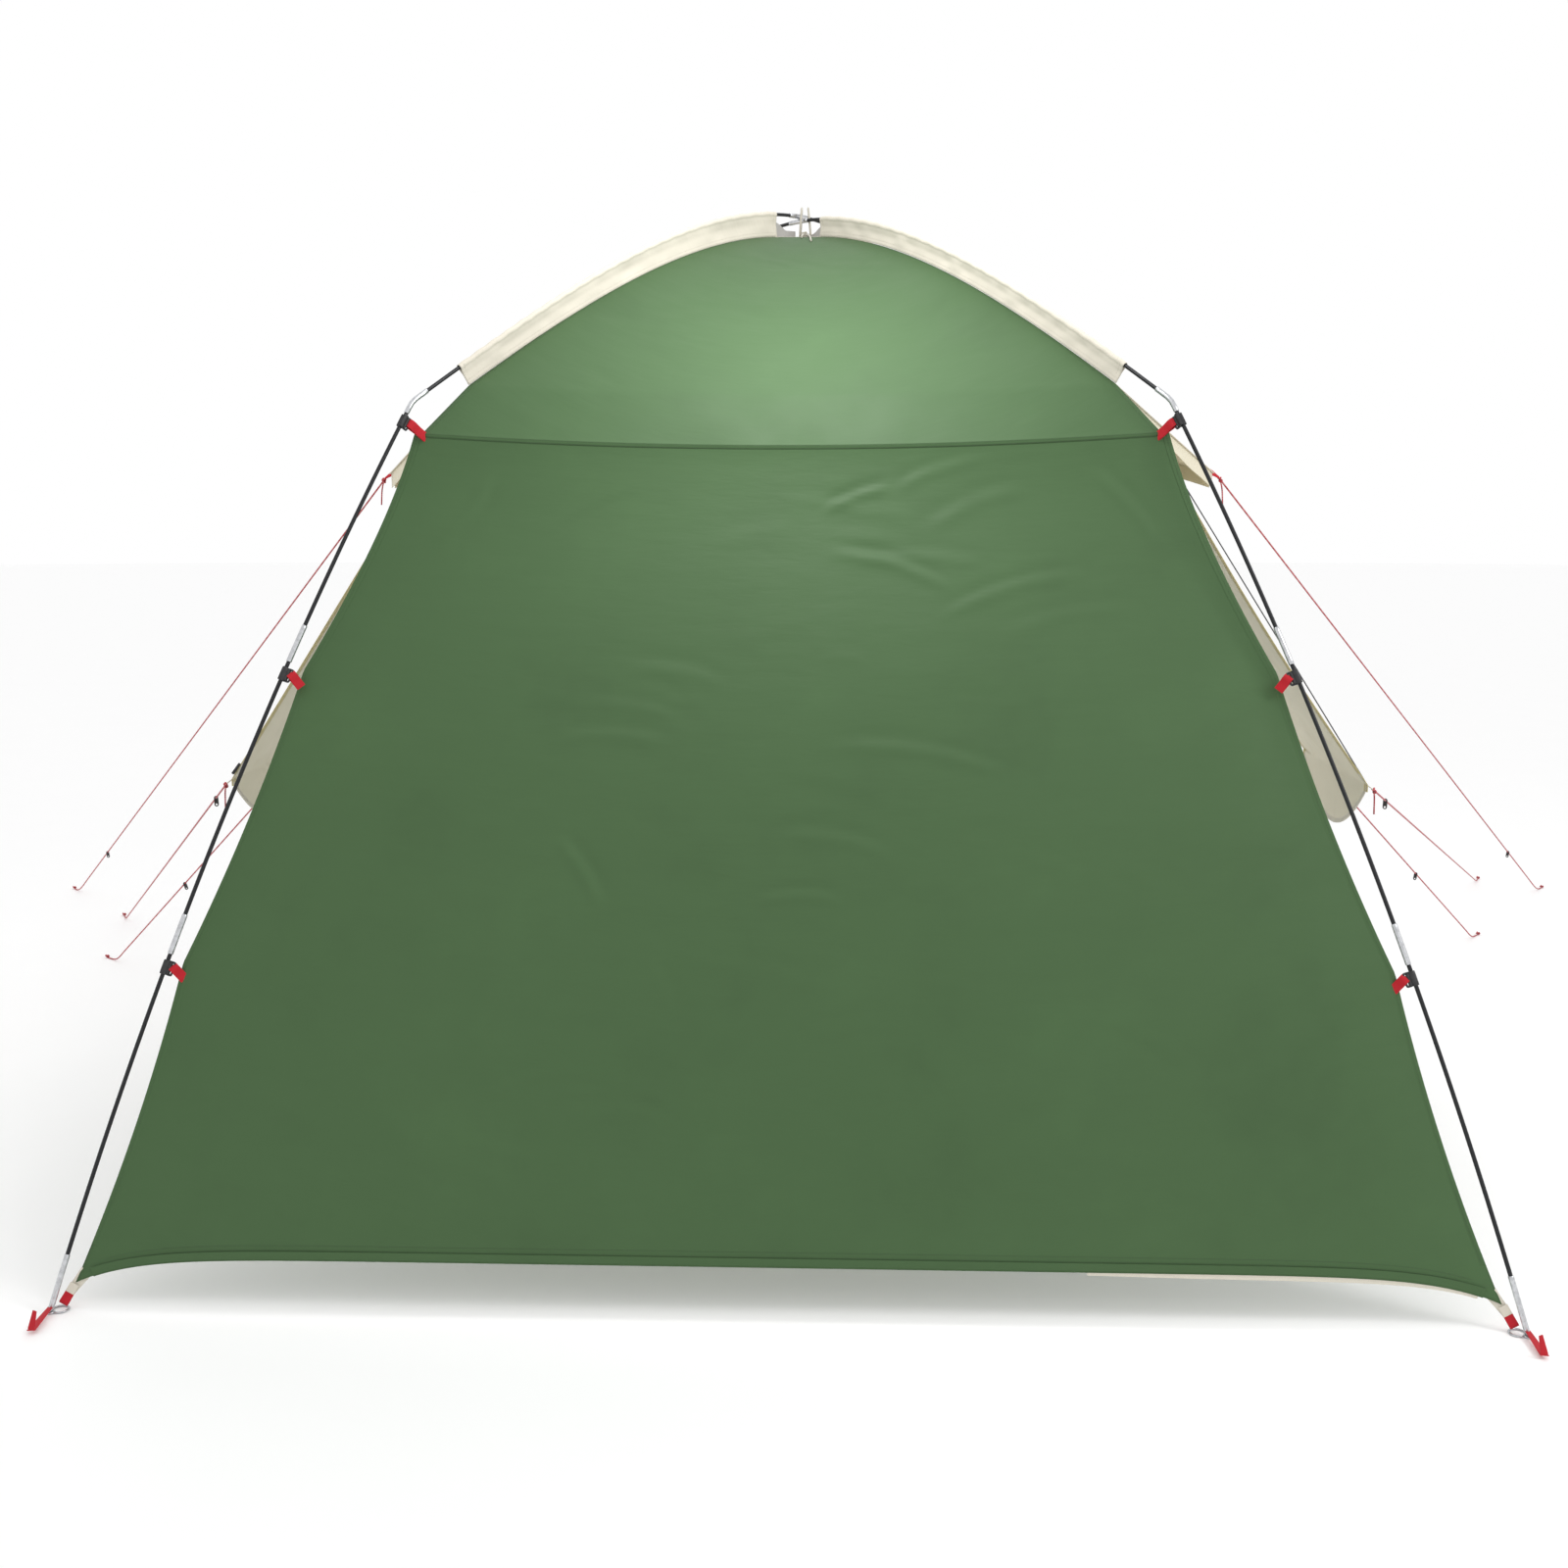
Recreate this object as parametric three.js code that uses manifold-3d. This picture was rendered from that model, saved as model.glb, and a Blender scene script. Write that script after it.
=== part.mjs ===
// Dome shelter on two crossed tent poles. Each pole is made of sleeved rod sections joined by
// ferrules and bent elbows, and springs from one corner of a square to the opposite corner. A
// fabric roof hangs from the poles in four gores, with a wall on the near side, a peaked visor
// and a hanging flap on each flank, and guy ropes with sliding runners.
// Units are millimetres, +Z is up, +Y points away from the wall, and the origin is on the ground
// at the centre of the four feet.
import * as THREE from "three";
import { mergeVertices } from "three/addons/utils/BufferGeometryUtils.js";
import Module from "manifold-3d";

const wasm = await Module();
wasm.setup();

// ---- driving dimensions ------------------------------------------------------------------------

const FOOT_SPAN = 2700; // between neighbouring feet, centre to centre
const ELBOW_SPAN = 1530; // between neighbouring elbows
const ELBOW_HEIGHT = 1692;
const CROWN_HEIGHT = 2180; // centre line of the upper pole at the crossing
const POLE_STACK = 11.6; // how far the lower pole's centre line passes under the upper one's
const FOOT_LIFT = 6.4; // height of the pole's lower end over the ground
const LEG_BOW = 45; // how far a leg bows out of its chord
const ELBOW_BEND = 10; // length of the bend on each side of the elbow's corner
const ROOF_SHOULDER = [690, 1950]; // handle of the roof curve at the elbow: radius, height
const ROOF_CROWN_HANDLE = 330; // length of the roof curve's level handle at the crown

const ROD_RADIUS = 4;
const ROD_BORE = 2.2;
const SOCKET_RADIUS = 4.4; // bore of a ferrule, which takes the next rod
const FERRULE_RADIUS = 5.5;
const FERRULE_LENGTH = 79;
const FERRULE_INSERT = 38; // how deep a rod sits in a ferrule
const FOOT_RADIUS = 5.3;
const FOOT_LENGTH = 105;
const PIN_BORE = 3;
const PIN_DEPTH = 42;
const LOWER_ROD_LENGTH = 580;
const MIDDLE_ROD_LENGTH = 525;
const ELBOW_LOWER_ARM = 28;
const ELBOW_UPPER_ARM = 42;
const CROWN_FERRULE_LENGTH = 62;
const ROD_END_GAP = 0.5;
const SHOCK_CORD_RADIUS = 1.2;

const SLEEVE_RADIUS = 6.6;
const SLEEVE_BORE = 4.7;
const SLEEVE_DEPTH = 40; // from the pole's centre line to the roof seam
const SLEEVE_START = 135; // along the roof from the elbow
const SLEEVE_END = 78; // before the crown
const SLEEVE_SKIN = 1.5;

const CLOTH = 1.5; // thickness of the cloth solids
const SEAM_GAP = 1.6; // clearance of neighbouring cloth solids
const EAVE_CORNER = 750; // X and Y of an eave corner
const EAVE_HEIGHT = 1630; // height of an eave corner
const EAVE_SAG = 26;
const ROOF_SAG = 16;
const VISOR_TIP = [1012, 1570]; // distance from the middle plane, height
const FLAP_TOP = [812, 1606]; // distance and height of the flap's top edge
const FLAP_HALF_WIDTH = 420;
const FLAP_NEAR_CORNER = [1300, -420, 862];
const FLAP_FAR_CORNER = [1385, 420, 832];
const FLAP_VALANCE = 140; // how far the flap's rounded edge droops below its corners
const FLAP_SELVAGE = 12; // depth of the drooping edge at the corners
const WALL_EDGE_SET_BACK = 12; // of the wall's side edges behind the leg
const WALL_EDGE_GAP = 28; // between leg and wall edge at a clip
const WALL_EDGE_HOLLOW = 18; // how far a wall edge draws in between two clips
const HEM_HEIGHT = 100;
const HEM_CORNER_HEIGHT = 50;

const CLIP_LENGTH = 28;
const CLIP_BORE = 4.7;
const CLIP_RADIUS = 8;
const CLIP_REACH = 23;
const CLIP_BELOW_FERRULE = 26; // from the ferrule's lower end to the clip's middle
const CLIP_BELOW_ELBOW = 46;

const ROPE_RADIUS = 2.1;
const ROPE_STEPS = 14;
const ROPE_REST = 60; // length of rope that lies on the ground at its end
const RUNNER_LENGTH = 26;
const RUNNER_WIDTH = 10;
const RUNNER_THICKNESS = 3.5;
const RUNNER_HOLE = 2.6;

const SIDES = 8;
const LEG_STEP = 235;
const ROOF_STEP = 105;

// ---- materials ---------------------------------------------------------------------------------

const finish = (color, roughness, metalness = 0) =>
  new THREE.MeshStandardMaterial({ color, roughness, metalness });

const blackRod = finish(0x17181a, 0.42);
const silverMetal = finish(0xb9bcc0, 0.32, 0.9);
const steelWire = finish(0x9fa3a8, 0.28, 0.95);
const greenCloth = finish(0x5a7551, 0.85);
const creamCloth = finish(0xe9e3d3, 0.85);
const blackPlastic = finish(0x1b1b1d, 0.5);
const guyRope = finish(0x8c1f25, 0.8);
const elastic = finish(0xdedad0, 0.8);

// ---- geometry helpers --------------------------------------------------------------------------

/** A closed geometry as a solid that can be joined or cut. */
function toSolid(geometry) {
  const bare = new THREE.BufferGeometry();
  bare.setAttribute("position", geometry.attributes.position);
  bare.setIndex(geometry.index);
  const merged = mergeVertices(bare, 1e-4);
  return new wasm.Manifold(
    new wasm.Mesh({
      numProp: 3,
      vertProperties: merged.attributes.position.array,
      triVerts: new Uint32Array(merged.index.array),
    }),
  );
}

/** A solid as a geometry. */
function toGeometry(solid) {
  const { vertProperties, triVerts } = solid.getMesh();
  const geometry = new THREE.BufferGeometry();
  geometry.setAttribute("position", new THREE.BufferAttribute(new Float32Array(vertProperties), 3));
  geometry.setIndex(new THREE.BufferAttribute(new Uint32Array(triVerts), 1));
  geometry.computeVertexNormals();
  return geometry;
}

/** Moves every vertex of a geometry to place(x, y, z), which returns a Vector3. */
function reshape(geometry, place) {
  const position = geometry.attributes.position;
  for (let i = 0; i < position.count; i += 1) {
    const moved = place(position.getX(i), position.getY(i), position.getZ(i));
    position.setXYZ(i, moved.x, moved.y, moved.z);
  }
  geometry.computeVertexNormals();
  return geometry;
}

/** A thin closed sheet: surface(u, v) with u from -1 to 1 across and v from 0 to 1 down. */
function sheet(columns, rows, surface) {
  const nudge = 1e-3;
  const flat = new THREE.BoxGeometry(2, 1, CLOTH, columns, rows, 1);
  return reshape(flat, (x, y, z) => {
    const v = 0.5 - y;
    const across = surface(x + nudge, v).sub(surface(x - nudge, v));
    const upward = surface(x, v - nudge).sub(surface(x, v + nudge));
    const normal = across.cross(upward).normalize();
    return surface(x, v).addScaledVector(normal, z);
  });
}

/** Moves a geometry built at the origin to a point, its own Z axis turned to a direction. */
function aim(geometry, point, direction) {
  const turn = new THREE.Quaternion().setFromUnitVectors(
    new THREE.Vector3(0, 0, 1),
    direction.clone().normalize(),
  );
  return geometry.applyQuaternion(turn).translate(point.x, point.y, point.z);
}

// ---- the poles ---------------------------------------------------------------------------------

/** The centre line of half a pole in its upright diagonal plane: x is radius, y is height. */
function halfPole(crownHeight) {
  const foot = new THREE.Vector2(FOOT_SPAN / Math.SQRT2, FOOT_LIFT);
  const elbow = new THREE.Vector2(ELBOW_SPAN / Math.SQRT2, ELBOW_HEIGHT);
  const chord = elbow.clone().sub(foot);
  const outward = new THREE.Vector2(chord.y, -chord.x).normalize();
  const knee = foot.clone().add(elbow).multiplyScalar(0.5).addScaledVector(outward, 2 * LEG_BOW);
  const shoulder = new THREE.Vector2(...ROOF_SHOULDER);
  const below = elbow.clone().addScaledVector(knee.clone().sub(elbow).normalize(), ELBOW_BEND);
  const above = elbow.clone().addScaledVector(shoulder.clone().sub(elbow).normalize(), ELBOW_BEND);
  const path = new THREE.CurvePath();
  path.add(new THREE.QuadraticBezierCurve(foot, knee, below));
  path.add(new THREE.QuadraticBezierCurve(below, elbow, above));
  path.add(
    new THREE.CubicBezierCurve(
      above,
      shoulder,
      new THREE.Vector2(ROOF_CROWN_HANDLE, crownHeight),
      new THREE.Vector2(0, crownHeight),
    ),
  );
  return path;
}

/** A whole pole from the foot at corner a, over the crown, to the foot at corner b. */
class Pole {
  constructor(crownHeight, a, b) {
    this.path = halfPole(crownHeight);
    this.a = a;
    this.b = b;
    const [leg, bend] = this.path.curves.map((curve) => curve.getLength());
    this.elbowStart = leg;
    this.elbow = leg + bend / 2;
    this.elbowEnd = leg + bend;
    this.half = this.path.getLength();
    this.rings = this.ringLengths();
    this.ringFrames = this.rings.map((s) => this.trueFrame(s));
  }

  /** Lengths from foot a at which every piece on the pole has a ring of vertices. */
  ringLengths() {
    const rings = [0];
    for (let s = LEG_STEP; s < this.elbowStart - LEG_STEP / 2; s += LEG_STEP) rings.push(s);
    rings.push(this.elbowStart, this.elbow);
    const steps = Math.round((this.half - this.elbowEnd) / ROOF_STEP);
    for (let i = 0; i < steps; i += 1) {
      rings.push(this.elbowEnd + (i * (this.half - this.elbowEnd)) / steps);
    }
    const far = rings.map((s) => 2 * this.half - s).reverse();
    return [...rings, this.half, ...far];
  }

  /** Point and directions at length s on the smooth curve: along it, out of it and sideways. */
  trueFrame(s) {
    const [corner, onward] = s <= this.half ? [this.a, 1] : [this.b, -1];
    const t = Math.min(s, 2 * this.half - s) / this.half;
    const flat = this.path.getPoint(THREE.MathUtils.clamp(t, 0, 1));
    const slope = this.path.getTangent(THREE.MathUtils.clamp(t, 0, 1));
    const lift = (v) => {
      const [x, y] = corner.map((sign) => (sign * v.x) / Math.SQRT2);
      return new THREE.Vector3(x, y, v.y);
    };
    const along = lift(slope).multiplyScalar(onward);
    const out = lift(new THREE.Vector2(slope.y, -slope.x));
    return { point: lift(flat), along, out, side: out.clone().cross(along) };
  }

  /** The same on the straight stretch between two rings, so pieces on one pole never drift. */
  frame(s) {
    const last = this.rings.length - 1;
    const next = THREE.MathUtils.clamp(this.rings.findIndex((ring) => ring >= s), 1, last);
    const t = (s - this.rings[next - 1]) / (this.rings[next] - this.rings[next - 1]);
    const [low, high] = [this.ringFrames[next - 1], this.ringFrames[next]];
    return Object.fromEntries(
      Object.keys(low).map((key) => [key, low[key].clone().lerp(high[key], t)]),
    );
  }

  /** Ring lengths strictly between two ends. */
  marks(from, to) {
    return this.rings.filter((s) => s > from + 2 && s < to - 2);
  }

  /** A turned piece from its closed profile of [radius, length] pairs, bent along the pole. */
  turned(outside, inside, sides = SIDES) {
    const trace = (points) =>
      points.flatMap(([radius, s], i) => {
        const next = points[i + 1];
        if (!next || next[0] !== radius) return [[radius, s]];
        return [[radius, s], ...this.marks(s, next[1]).map((mark) => [radius, mark])];
      });
    const up = trace(outside);
    const down = trace(inside).reverse();
    const closed = [...up, ...down, up[0]];
    const profile = closed.map(([radius, s]) => new THREE.Vector2(radius, s));
    return reshape(new THREE.LatheGeometry(profile, sides), (x, s, z) => {
      const { point, out, side } = this.frame(s);
      return point.addScaledVector(out, x).addScaledVector(side, z);
    });
  }

  /** A section carried along the pole; hem(y, s) may deepen it at length s. */
  carried(shape, from, to, hem) {
    const rings = [from, ...this.marks(from, to), to];
    const steps = rings.length - 1;
    const straight = new THREE.ExtrudeGeometry(shape, {
      depth: steps,
      steps,
      bevelEnabled: false,
    });
    return reshape(straight, (x, y, z) => {
      const s = rings[Math.round(z)];
      const { point, out, side } = this.frame(s);
      return point.addScaledVector(side, x).addScaledVector(out, hem(y, s));
    });
  }
}

const corners = {
  near_left: [-1, -1],
  near_right: [1, -1],
  far_left: [-1, 1],
  far_right: [1, 1],
};
const opposite = {
  near_left: "far_right",
  near_right: "far_left",
  far_left: "near_right",
  far_right: "near_left",
};
const upperPole = ["near_left", "far_right"];

/** The pole as seen from one corner's foot. */
function poleFrom(corner) {
  const height = upperPole.includes(corner) ? CROWN_HEIGHT : CROWN_HEIGHT - POLE_STACK;
  return new Pole(height, corners[corner], corners[opposite[corner]]);
}

const FIRST_FERRULE = FOOT_LENGTH + LOWER_ROD_LENGTH;
const MIDDLE_START = FIRST_FERRULE + FERRULE_LENGTH;
const SECOND_FERRULE = MIDDLE_START + MIDDLE_ROD_LENGTH;
const UPPER_START = SECOND_FERRULE + FERRULE_LENGTH;

/** Lowest rod, with the metal foot on its lower end and a ferrule on its upper end. */
function lowerSection(pole) {
  const seat = MIDDLE_START - FERRULE_INSERT - 1;
  const outside = [
    [FOOT_RADIUS, 0],
    [FOOT_RADIUS, FOOT_LENGTH],
    [ROD_RADIUS, FOOT_LENGTH],
    [ROD_RADIUS, FIRST_FERRULE],
    [FERRULE_RADIUS, FIRST_FERRULE],
    [FERRULE_RADIUS, MIDDLE_START],
  ];
  const inside = [
    [PIN_BORE, 0],
    [PIN_BORE, PIN_DEPTH],
    [ROD_BORE, PIN_DEPTH],
    [ROD_BORE, seat],
    [SOCKET_RADIUS, seat],
    [SOCKET_RADIUS, MIDDLE_START],
  ];
  return pole.turned(outside, inside);
}

/** Middle rod: its lower end sits in the ferrule below, and it carries the next ferrule. */
function middleSection(pole) {
  const start = MIDDLE_START - FERRULE_INSERT;
  const seat = UPPER_START - FERRULE_INSERT - 1;
  const outside = [
    [ROD_RADIUS, start],
    [ROD_RADIUS, SECOND_FERRULE],
    [FERRULE_RADIUS, SECOND_FERRULE],
    [FERRULE_RADIUS, UPPER_START],
  ];
  const inside = [
    [ROD_BORE, start],
    [ROD_BORE, seat],
    [SOCKET_RADIUS, seat],
    [SOCKET_RADIUS, UPPER_START],
  ];
  return pole.turned(outside, inside);
}

/** A plain hollow rod between two lengths. */
function plainRod(pole, from, to) {
  const outside = [
    [ROD_RADIUS, from],
    [ROD_RADIUS, to],
  ];
  const inside = [
    [ROD_BORE, from],
    [ROD_BORE, to],
  ];
  return pole.turned(outside, inside);
}

/** A metal tube that takes a rod in each end. */
function socketTube(pole, from, to) {
  const outside = [
    [FERRULE_RADIUS, from],
    [FERRULE_RADIUS, to],
  ];
  const inside = [
    [SOCKET_RADIUS, from],
    [SOCKET_RADIUS, to],
  ];
  return pole.turned(outside, inside);
}

/** The elastic cord that runs through all sections of one pole and keeps them together. */
function shockCord(pole) {
  const [from, to] = [PIN_DEPTH + 4, 2 * pole.half - PIN_DEPTH - 4];
  const rim = [
    [SHOCK_CORD_RADIUS, from],
    [SHOCK_CORD_RADIUS, to],
  ];
  const axis = [
    [0, from],
    [0, to],
  ];
  const rings = [from, ...pole.marks(from, to), to];
  const profile = [
    new THREE.Vector2(...axis[0]),
    ...rings.map((s) => new THREE.Vector2(rim[0][0], s)),
    new THREE.Vector2(...axis[1]),
  ];
  return reshape(new THREE.LatheGeometry(profile, 6), (x, s, z) => {
    const { point, out, side } = pole.frame(s);
    return point.addScaledVector(out, x).addScaledVector(side, z);
  });
}

/** Pin for the pole's end, standing on a small base plate that holds a steel ring. */
function ringPin(corner, pole) {
  const [sx, sy] = corners[corner];
  const foot = FOOT_SPAN / 2;
  const ringRadius = 15;
  const wire = 2;
  const baseRadius = 8;
  const baseHeight = 4;
  const base = new THREE.CylinderGeometry(baseRadius, baseRadius, baseHeight, 12);
  base.rotateX(Math.PI / 2).translate(sx * foot, sy * foot, baseHeight / 2);
  const ring = new THREE.TorusGeometry(ringRadius, wire, 6, 16);
  const inset = foot - (ringRadius + 3) / Math.SQRT2;
  ring.translate(sx * inset, sy * inset, wire);
  const pinLength = PIN_DEPTH + 2;
  const pin = new THREE.CylinderGeometry(PIN_BORE - 0.5, PIN_BORE - 0.5, pinLength, 8);
  pin.rotateX(Math.PI / 2).translate(0, 0, pinLength / 2 - FOOT_LIFT + 2);
  const { point, along } = pole.frame(0);
  aim(pin, point, along);
  return toGeometry(toSolid(base).add(toSolid(ring)).add(toSolid(pin)));
}

/** The fabric sleeve of one roof rod: a tube round the rod with a band down to the roof seam. */
function sleeve(pole, lift) {
  const half = SLEEVE_SKIN / 2;
  const neck = Math.asin(half / SLEEVE_RADIUS);
  const section = new THREE.Shape();
  section.moveTo(-half, -SLEEVE_DEPTH);
  section.lineTo(half, -SLEEVE_DEPTH);
  section.absarc(0, 0, SLEEVE_RADIUS, -Math.PI / 2 + neck, (3 * Math.PI) / 2 - neck, false);
  section.closePath();
  const bore = new THREE.Path();
  bore.absarc(0, 0, SLEEVE_BORE, 0, 2 * Math.PI, true);
  section.holes.push(bore);
  const outline = section.extractPoints(4);
  const plain = new THREE.Shape(outline.shape);
  plain.holes.push(new THREE.Path(outline.holes[0]));
  const deepen = (y, s) => {
    const t = (s - pole.elbow) / (pole.half - pole.elbow);
    return y > -SLEEVE_RADIUS - 1 ? y : y - lift * THREE.MathUtils.smoothstep(t, 0, 1);
  };
  return pole.carried(plain, pole.elbow + SLEEVE_START, pole.half - SLEEVE_END, deepen);
}

// ---- the cloth ---------------------------------------------------------------------------------

const lowerPole = poleFrom("near_right");

/** Half-width and height of the roof seam at v, from the crown at 0 to the eave corner at 1. */
function ridge(v) {
  const from = lowerPole.half - SLEEVE_END;
  const to = lowerPole.elbow + SLEEVE_START;
  const turnAt = 0.9;
  const along = THREE.MathUtils.lerp(from, to, Math.min(v / turnAt, 1));
  const { point, out } = lowerPole.frame(along);
  point.addScaledVector(out, -SLEEVE_DEPTH - 1);
  const down = Math.max(0, (v - turnAt) / (1 - turnAt));
  return {
    half: THREE.MathUtils.lerp(point.x, EAVE_CORNER, down),
    height: THREE.MathUtils.lerp(point.z, EAVE_HEIGHT, down),
  };
}

/** Gore over the near (side -1) or far (side 1) flank, level across, drawn in a little. */
function plainGore(side) {
  return sheet(8, 10, (u, v) => {
    const { half, height } = ridge(v);
    const middle = 1 - u * u;
    const taut = middle * Math.sin(Math.PI * v);
    return new THREE.Vector3(
      -side * u * (half - SEAM_GAP),
      side * (half - ROOF_SAG * taut),
      height - ROOF_SAG * taut - EAVE_SAG * middle * v ** 4,
    );
  });
}

/** Gore over the left (side -1) or right (side 1) flank, which runs out into a peaked visor. */
function visorGore(side) {
  const brimAt = 0.66;
  const tipHalf = 14;
  const [reach, tipHeight] = VISOR_TIP;
  return sheet(8, 11, (u, v) => {
    const { half, height } = ridge(Math.min(v / brimAt, 1) * 0.9);
    const middle = 1 - u * u;
    const taut = middle * Math.sin(Math.PI * Math.min(v / brimAt, 1));
    const brim = Math.max(0, (v - brimAt) / (1 - brimAt));
    const width = THREE.MathUtils.lerp(half - SEAM_GAP, tipHalf, brim);
    const out = THREE.MathUtils.lerp(half - ROOF_SAG * taut, reach, brim);
    const up = THREE.MathUtils.lerp(height - ROOF_SAG * taut, tipHeight, brim);
    return new THREE.Vector3(side * out, side * u * width, up);
  });
}

/** Small patch under the crossing that closes the roof between the four gores. */
function crownPatch() {
  const { half, height } = ridge(0);
  const reach = half - 4;
  return sheet(4, 4, (u, v) => {
    const y = 1 - 2 * v;
    const dome = (1 - u * u) * (1 - y * y);
    return new THREE.Vector3(u * reach, y * reach, height + 3 * dome);
  });
}

/** X of a leg's centre line at a height. */
function legAt(height) {
  let [low, high] = [0, lowerPole.elbow];
  for (let i = 0; i < 40; i += 1) {
    const middle = (low + high) / 2;
    if (lowerPole.frame(middle).point.z < height) low = middle;
    else high = middle;
  }
  return lowerPole.frame(low).point.x;
}

const clipLengths = [
  FIRST_FERRULE - CLIP_BELOW_FERRULE,
  SECOND_FERRULE - CLIP_BELOW_FERRULE,
  lowerPole.elbow - CLIP_BELOW_ELBOW,
];
const clipHeights = clipLengths.map((s) => lowerPole.frame(s).point.z);

/** The wall between the two near legs, hollowed between its clips, with a raised hem. */
function nearWall() {
  const holds = [HEM_CORNER_HEIGHT, ...clipHeights.slice(0, 2), EAVE_HEIGHT - 4];
  const hollow = (height) => {
    const i = holds.findIndex((hold) => height <= hold);
    const k = Math.max(i, 1);
    const t = (height - holds[k - 1]) / (holds[k] - holds[k - 1]);
    return WALL_EDGE_HOLLOW * Math.max(0, 4 * t * (1 - t));
  };
  return sheet(12, 12, (u, v) => {
    const middle = 1 - u * u;
    const level = THREE.MathUtils.lerp(EAVE_HEIGHT - 4, HEM_CORNER_HEIGHT, v);
    const rise = (HEM_HEIGHT - HEM_CORNER_HEIGHT) * (1 - u ** 12) * v;
    const edge = legAt(level) - WALL_EDGE_GAP - hollow(level);
    const back = legAt(level) - WALL_EDGE_SET_BACK;
    return new THREE.Vector3(
      u * edge,
      -back - 14 * middle * Math.sin(Math.PI * v) + (1 - v) ** 6 * (back - EAVE_CORNER),
      level + rise - EAVE_SAG * middle * (1 - v) ** 4,
    );
  });
}

/** Flap under a visor: slopes out to two guyed corners and droops between them. */
function flap(side) {
  const bendAt = 0.8;
  const near = new THREE.Vector3(...FLAP_NEAR_CORNER);
  const far = new THREE.Vector3(...FLAP_FAR_CORNER);
  return sheet(6, 8, (u, v) => {
    const t = (1 + u) / 2;
    const top = new THREE.Vector3(FLAP_TOP[0], u * FLAP_HALF_WIDTH, FLAP_TOP[1]);
    const edge = near.clone().lerp(far, t);
    const middle = 1 - u * u;
    const main = Math.min(v / bendAt, 1);
    const point = top.lerp(edge, main);
    point.z -= 20 * middle * Math.sin(Math.PI * main);
    const hang = Math.max(0, (v - bendAt) / (1 - bendAt));
    const droop = FLAP_SELVAGE + (FLAP_VALANCE - FLAP_SELVAGE) * middle;
    point.z -= droop * hang;
    return new THREE.Vector3(side * point.x, point.y, point.z);
  });
}

// ---- fittings and ropes ------------------------------------------------------------------------

/** Hook clip that snaps round a rod, with a slotted plate for its strap. */
function hookClip(pole, s, inward) {
  const open = THREE.MathUtils.degToRad(52);
  const hook = new THREE.Shape();
  hook.absarc(0, 0, CLIP_RADIUS, -Math.PI / 2 + open, (3 * Math.PI) / 2 - open, false);
  hook.absarc(0, 0, CLIP_BORE, (3 * Math.PI) / 2 - open, -Math.PI / 2 + open, true);
  hook.closePath();
  const body = new THREE.ExtrudeGeometry(hook, {
    depth: CLIP_LENGTH,
    steps: 1,
    bevelEnabled: false,
    curveSegments: 8,
  });
  body.translate(0, 0, -CLIP_LENGTH / 2);
  const plateLength = CLIP_REACH - CLIP_BORE - 1.5;
  const plate = new THREE.BoxGeometry(3.6, plateLength, CLIP_LENGTH);
  plate.translate(0, CLIP_REACH - plateLength / 2, 0);
  const slot = new THREE.BoxGeometry(8, 5, CLIP_LENGTH - 6);
  slot.translate(0, CLIP_REACH - 6, 0);
  const clip = toGeometry(toSolid(body).add(toSolid(plate)).subtract(toSolid(slot)));
  const { point } = pole.frame(s);
  const along = pole.frame(s + 1).point.sub(pole.frame(s - 1).point).normalize();
  const reach = inward.clone().addScaledVector(along, -inward.dot(along)).normalize();
  const side = reach.clone().cross(along);
  const place = new THREE.Matrix4().makeBasis(side, reach, along).setPosition(point);
  return clip.applyMatrix4(place);
}

/** Route of a rope: from its fastening straight to the ground, then a short rest on it. */
function ropeRoute([start, end]) {
  const from = new THREE.Vector3(...start);
  const to = new THREE.Vector3(end[0], end[1], ROPE_RADIUS + 0.4);
  const rest = new THREE.Vector3(to.x - from.x, to.y - from.y, 0).setLength(ROPE_REST);
  const route = new THREE.CurvePath();
  route.add(new THREE.LineCurve3(from, to));
  route.add(new THREE.LineCurve3(to, to.clone().add(rest)));
  return route;
}

/** A rope along its route. */
function rope(ends) {
  const [run] = ropeRoute(ends).curves;
  const knee = run.getPoint(0.985);
  const lying = ropeRoute(ends).curves[1];
  const points = [];
  for (let i = 0; i <= ROPE_STEPS; i += 1) points.push(run.getPoint((0.985 * i) / ROPE_STEPS));
  const bend = new THREE.QuadraticBezierCurve3(knee, run.v2, lying.getPoint(0.6));
  points.push(bend.getPoint(0.33), bend.getPoint(0.67), lying.getPoint(0.6), lying.getPoint(1));
  const path = new THREE.CatmullRomCurve3(points, false, "centripetal");
  const section = new THREE.Shape();
  section.absarc(0, 0, ROPE_RADIUS, 0, 2 * Math.PI, false);
  return new THREE.ExtrudeGeometry(new THREE.Shape(section.getPoints(8).slice(0, 8)), {
    steps: ROPE_STEPS + 4,
    extrudePath: path,
    bevelEnabled: false,
  });
}

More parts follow.
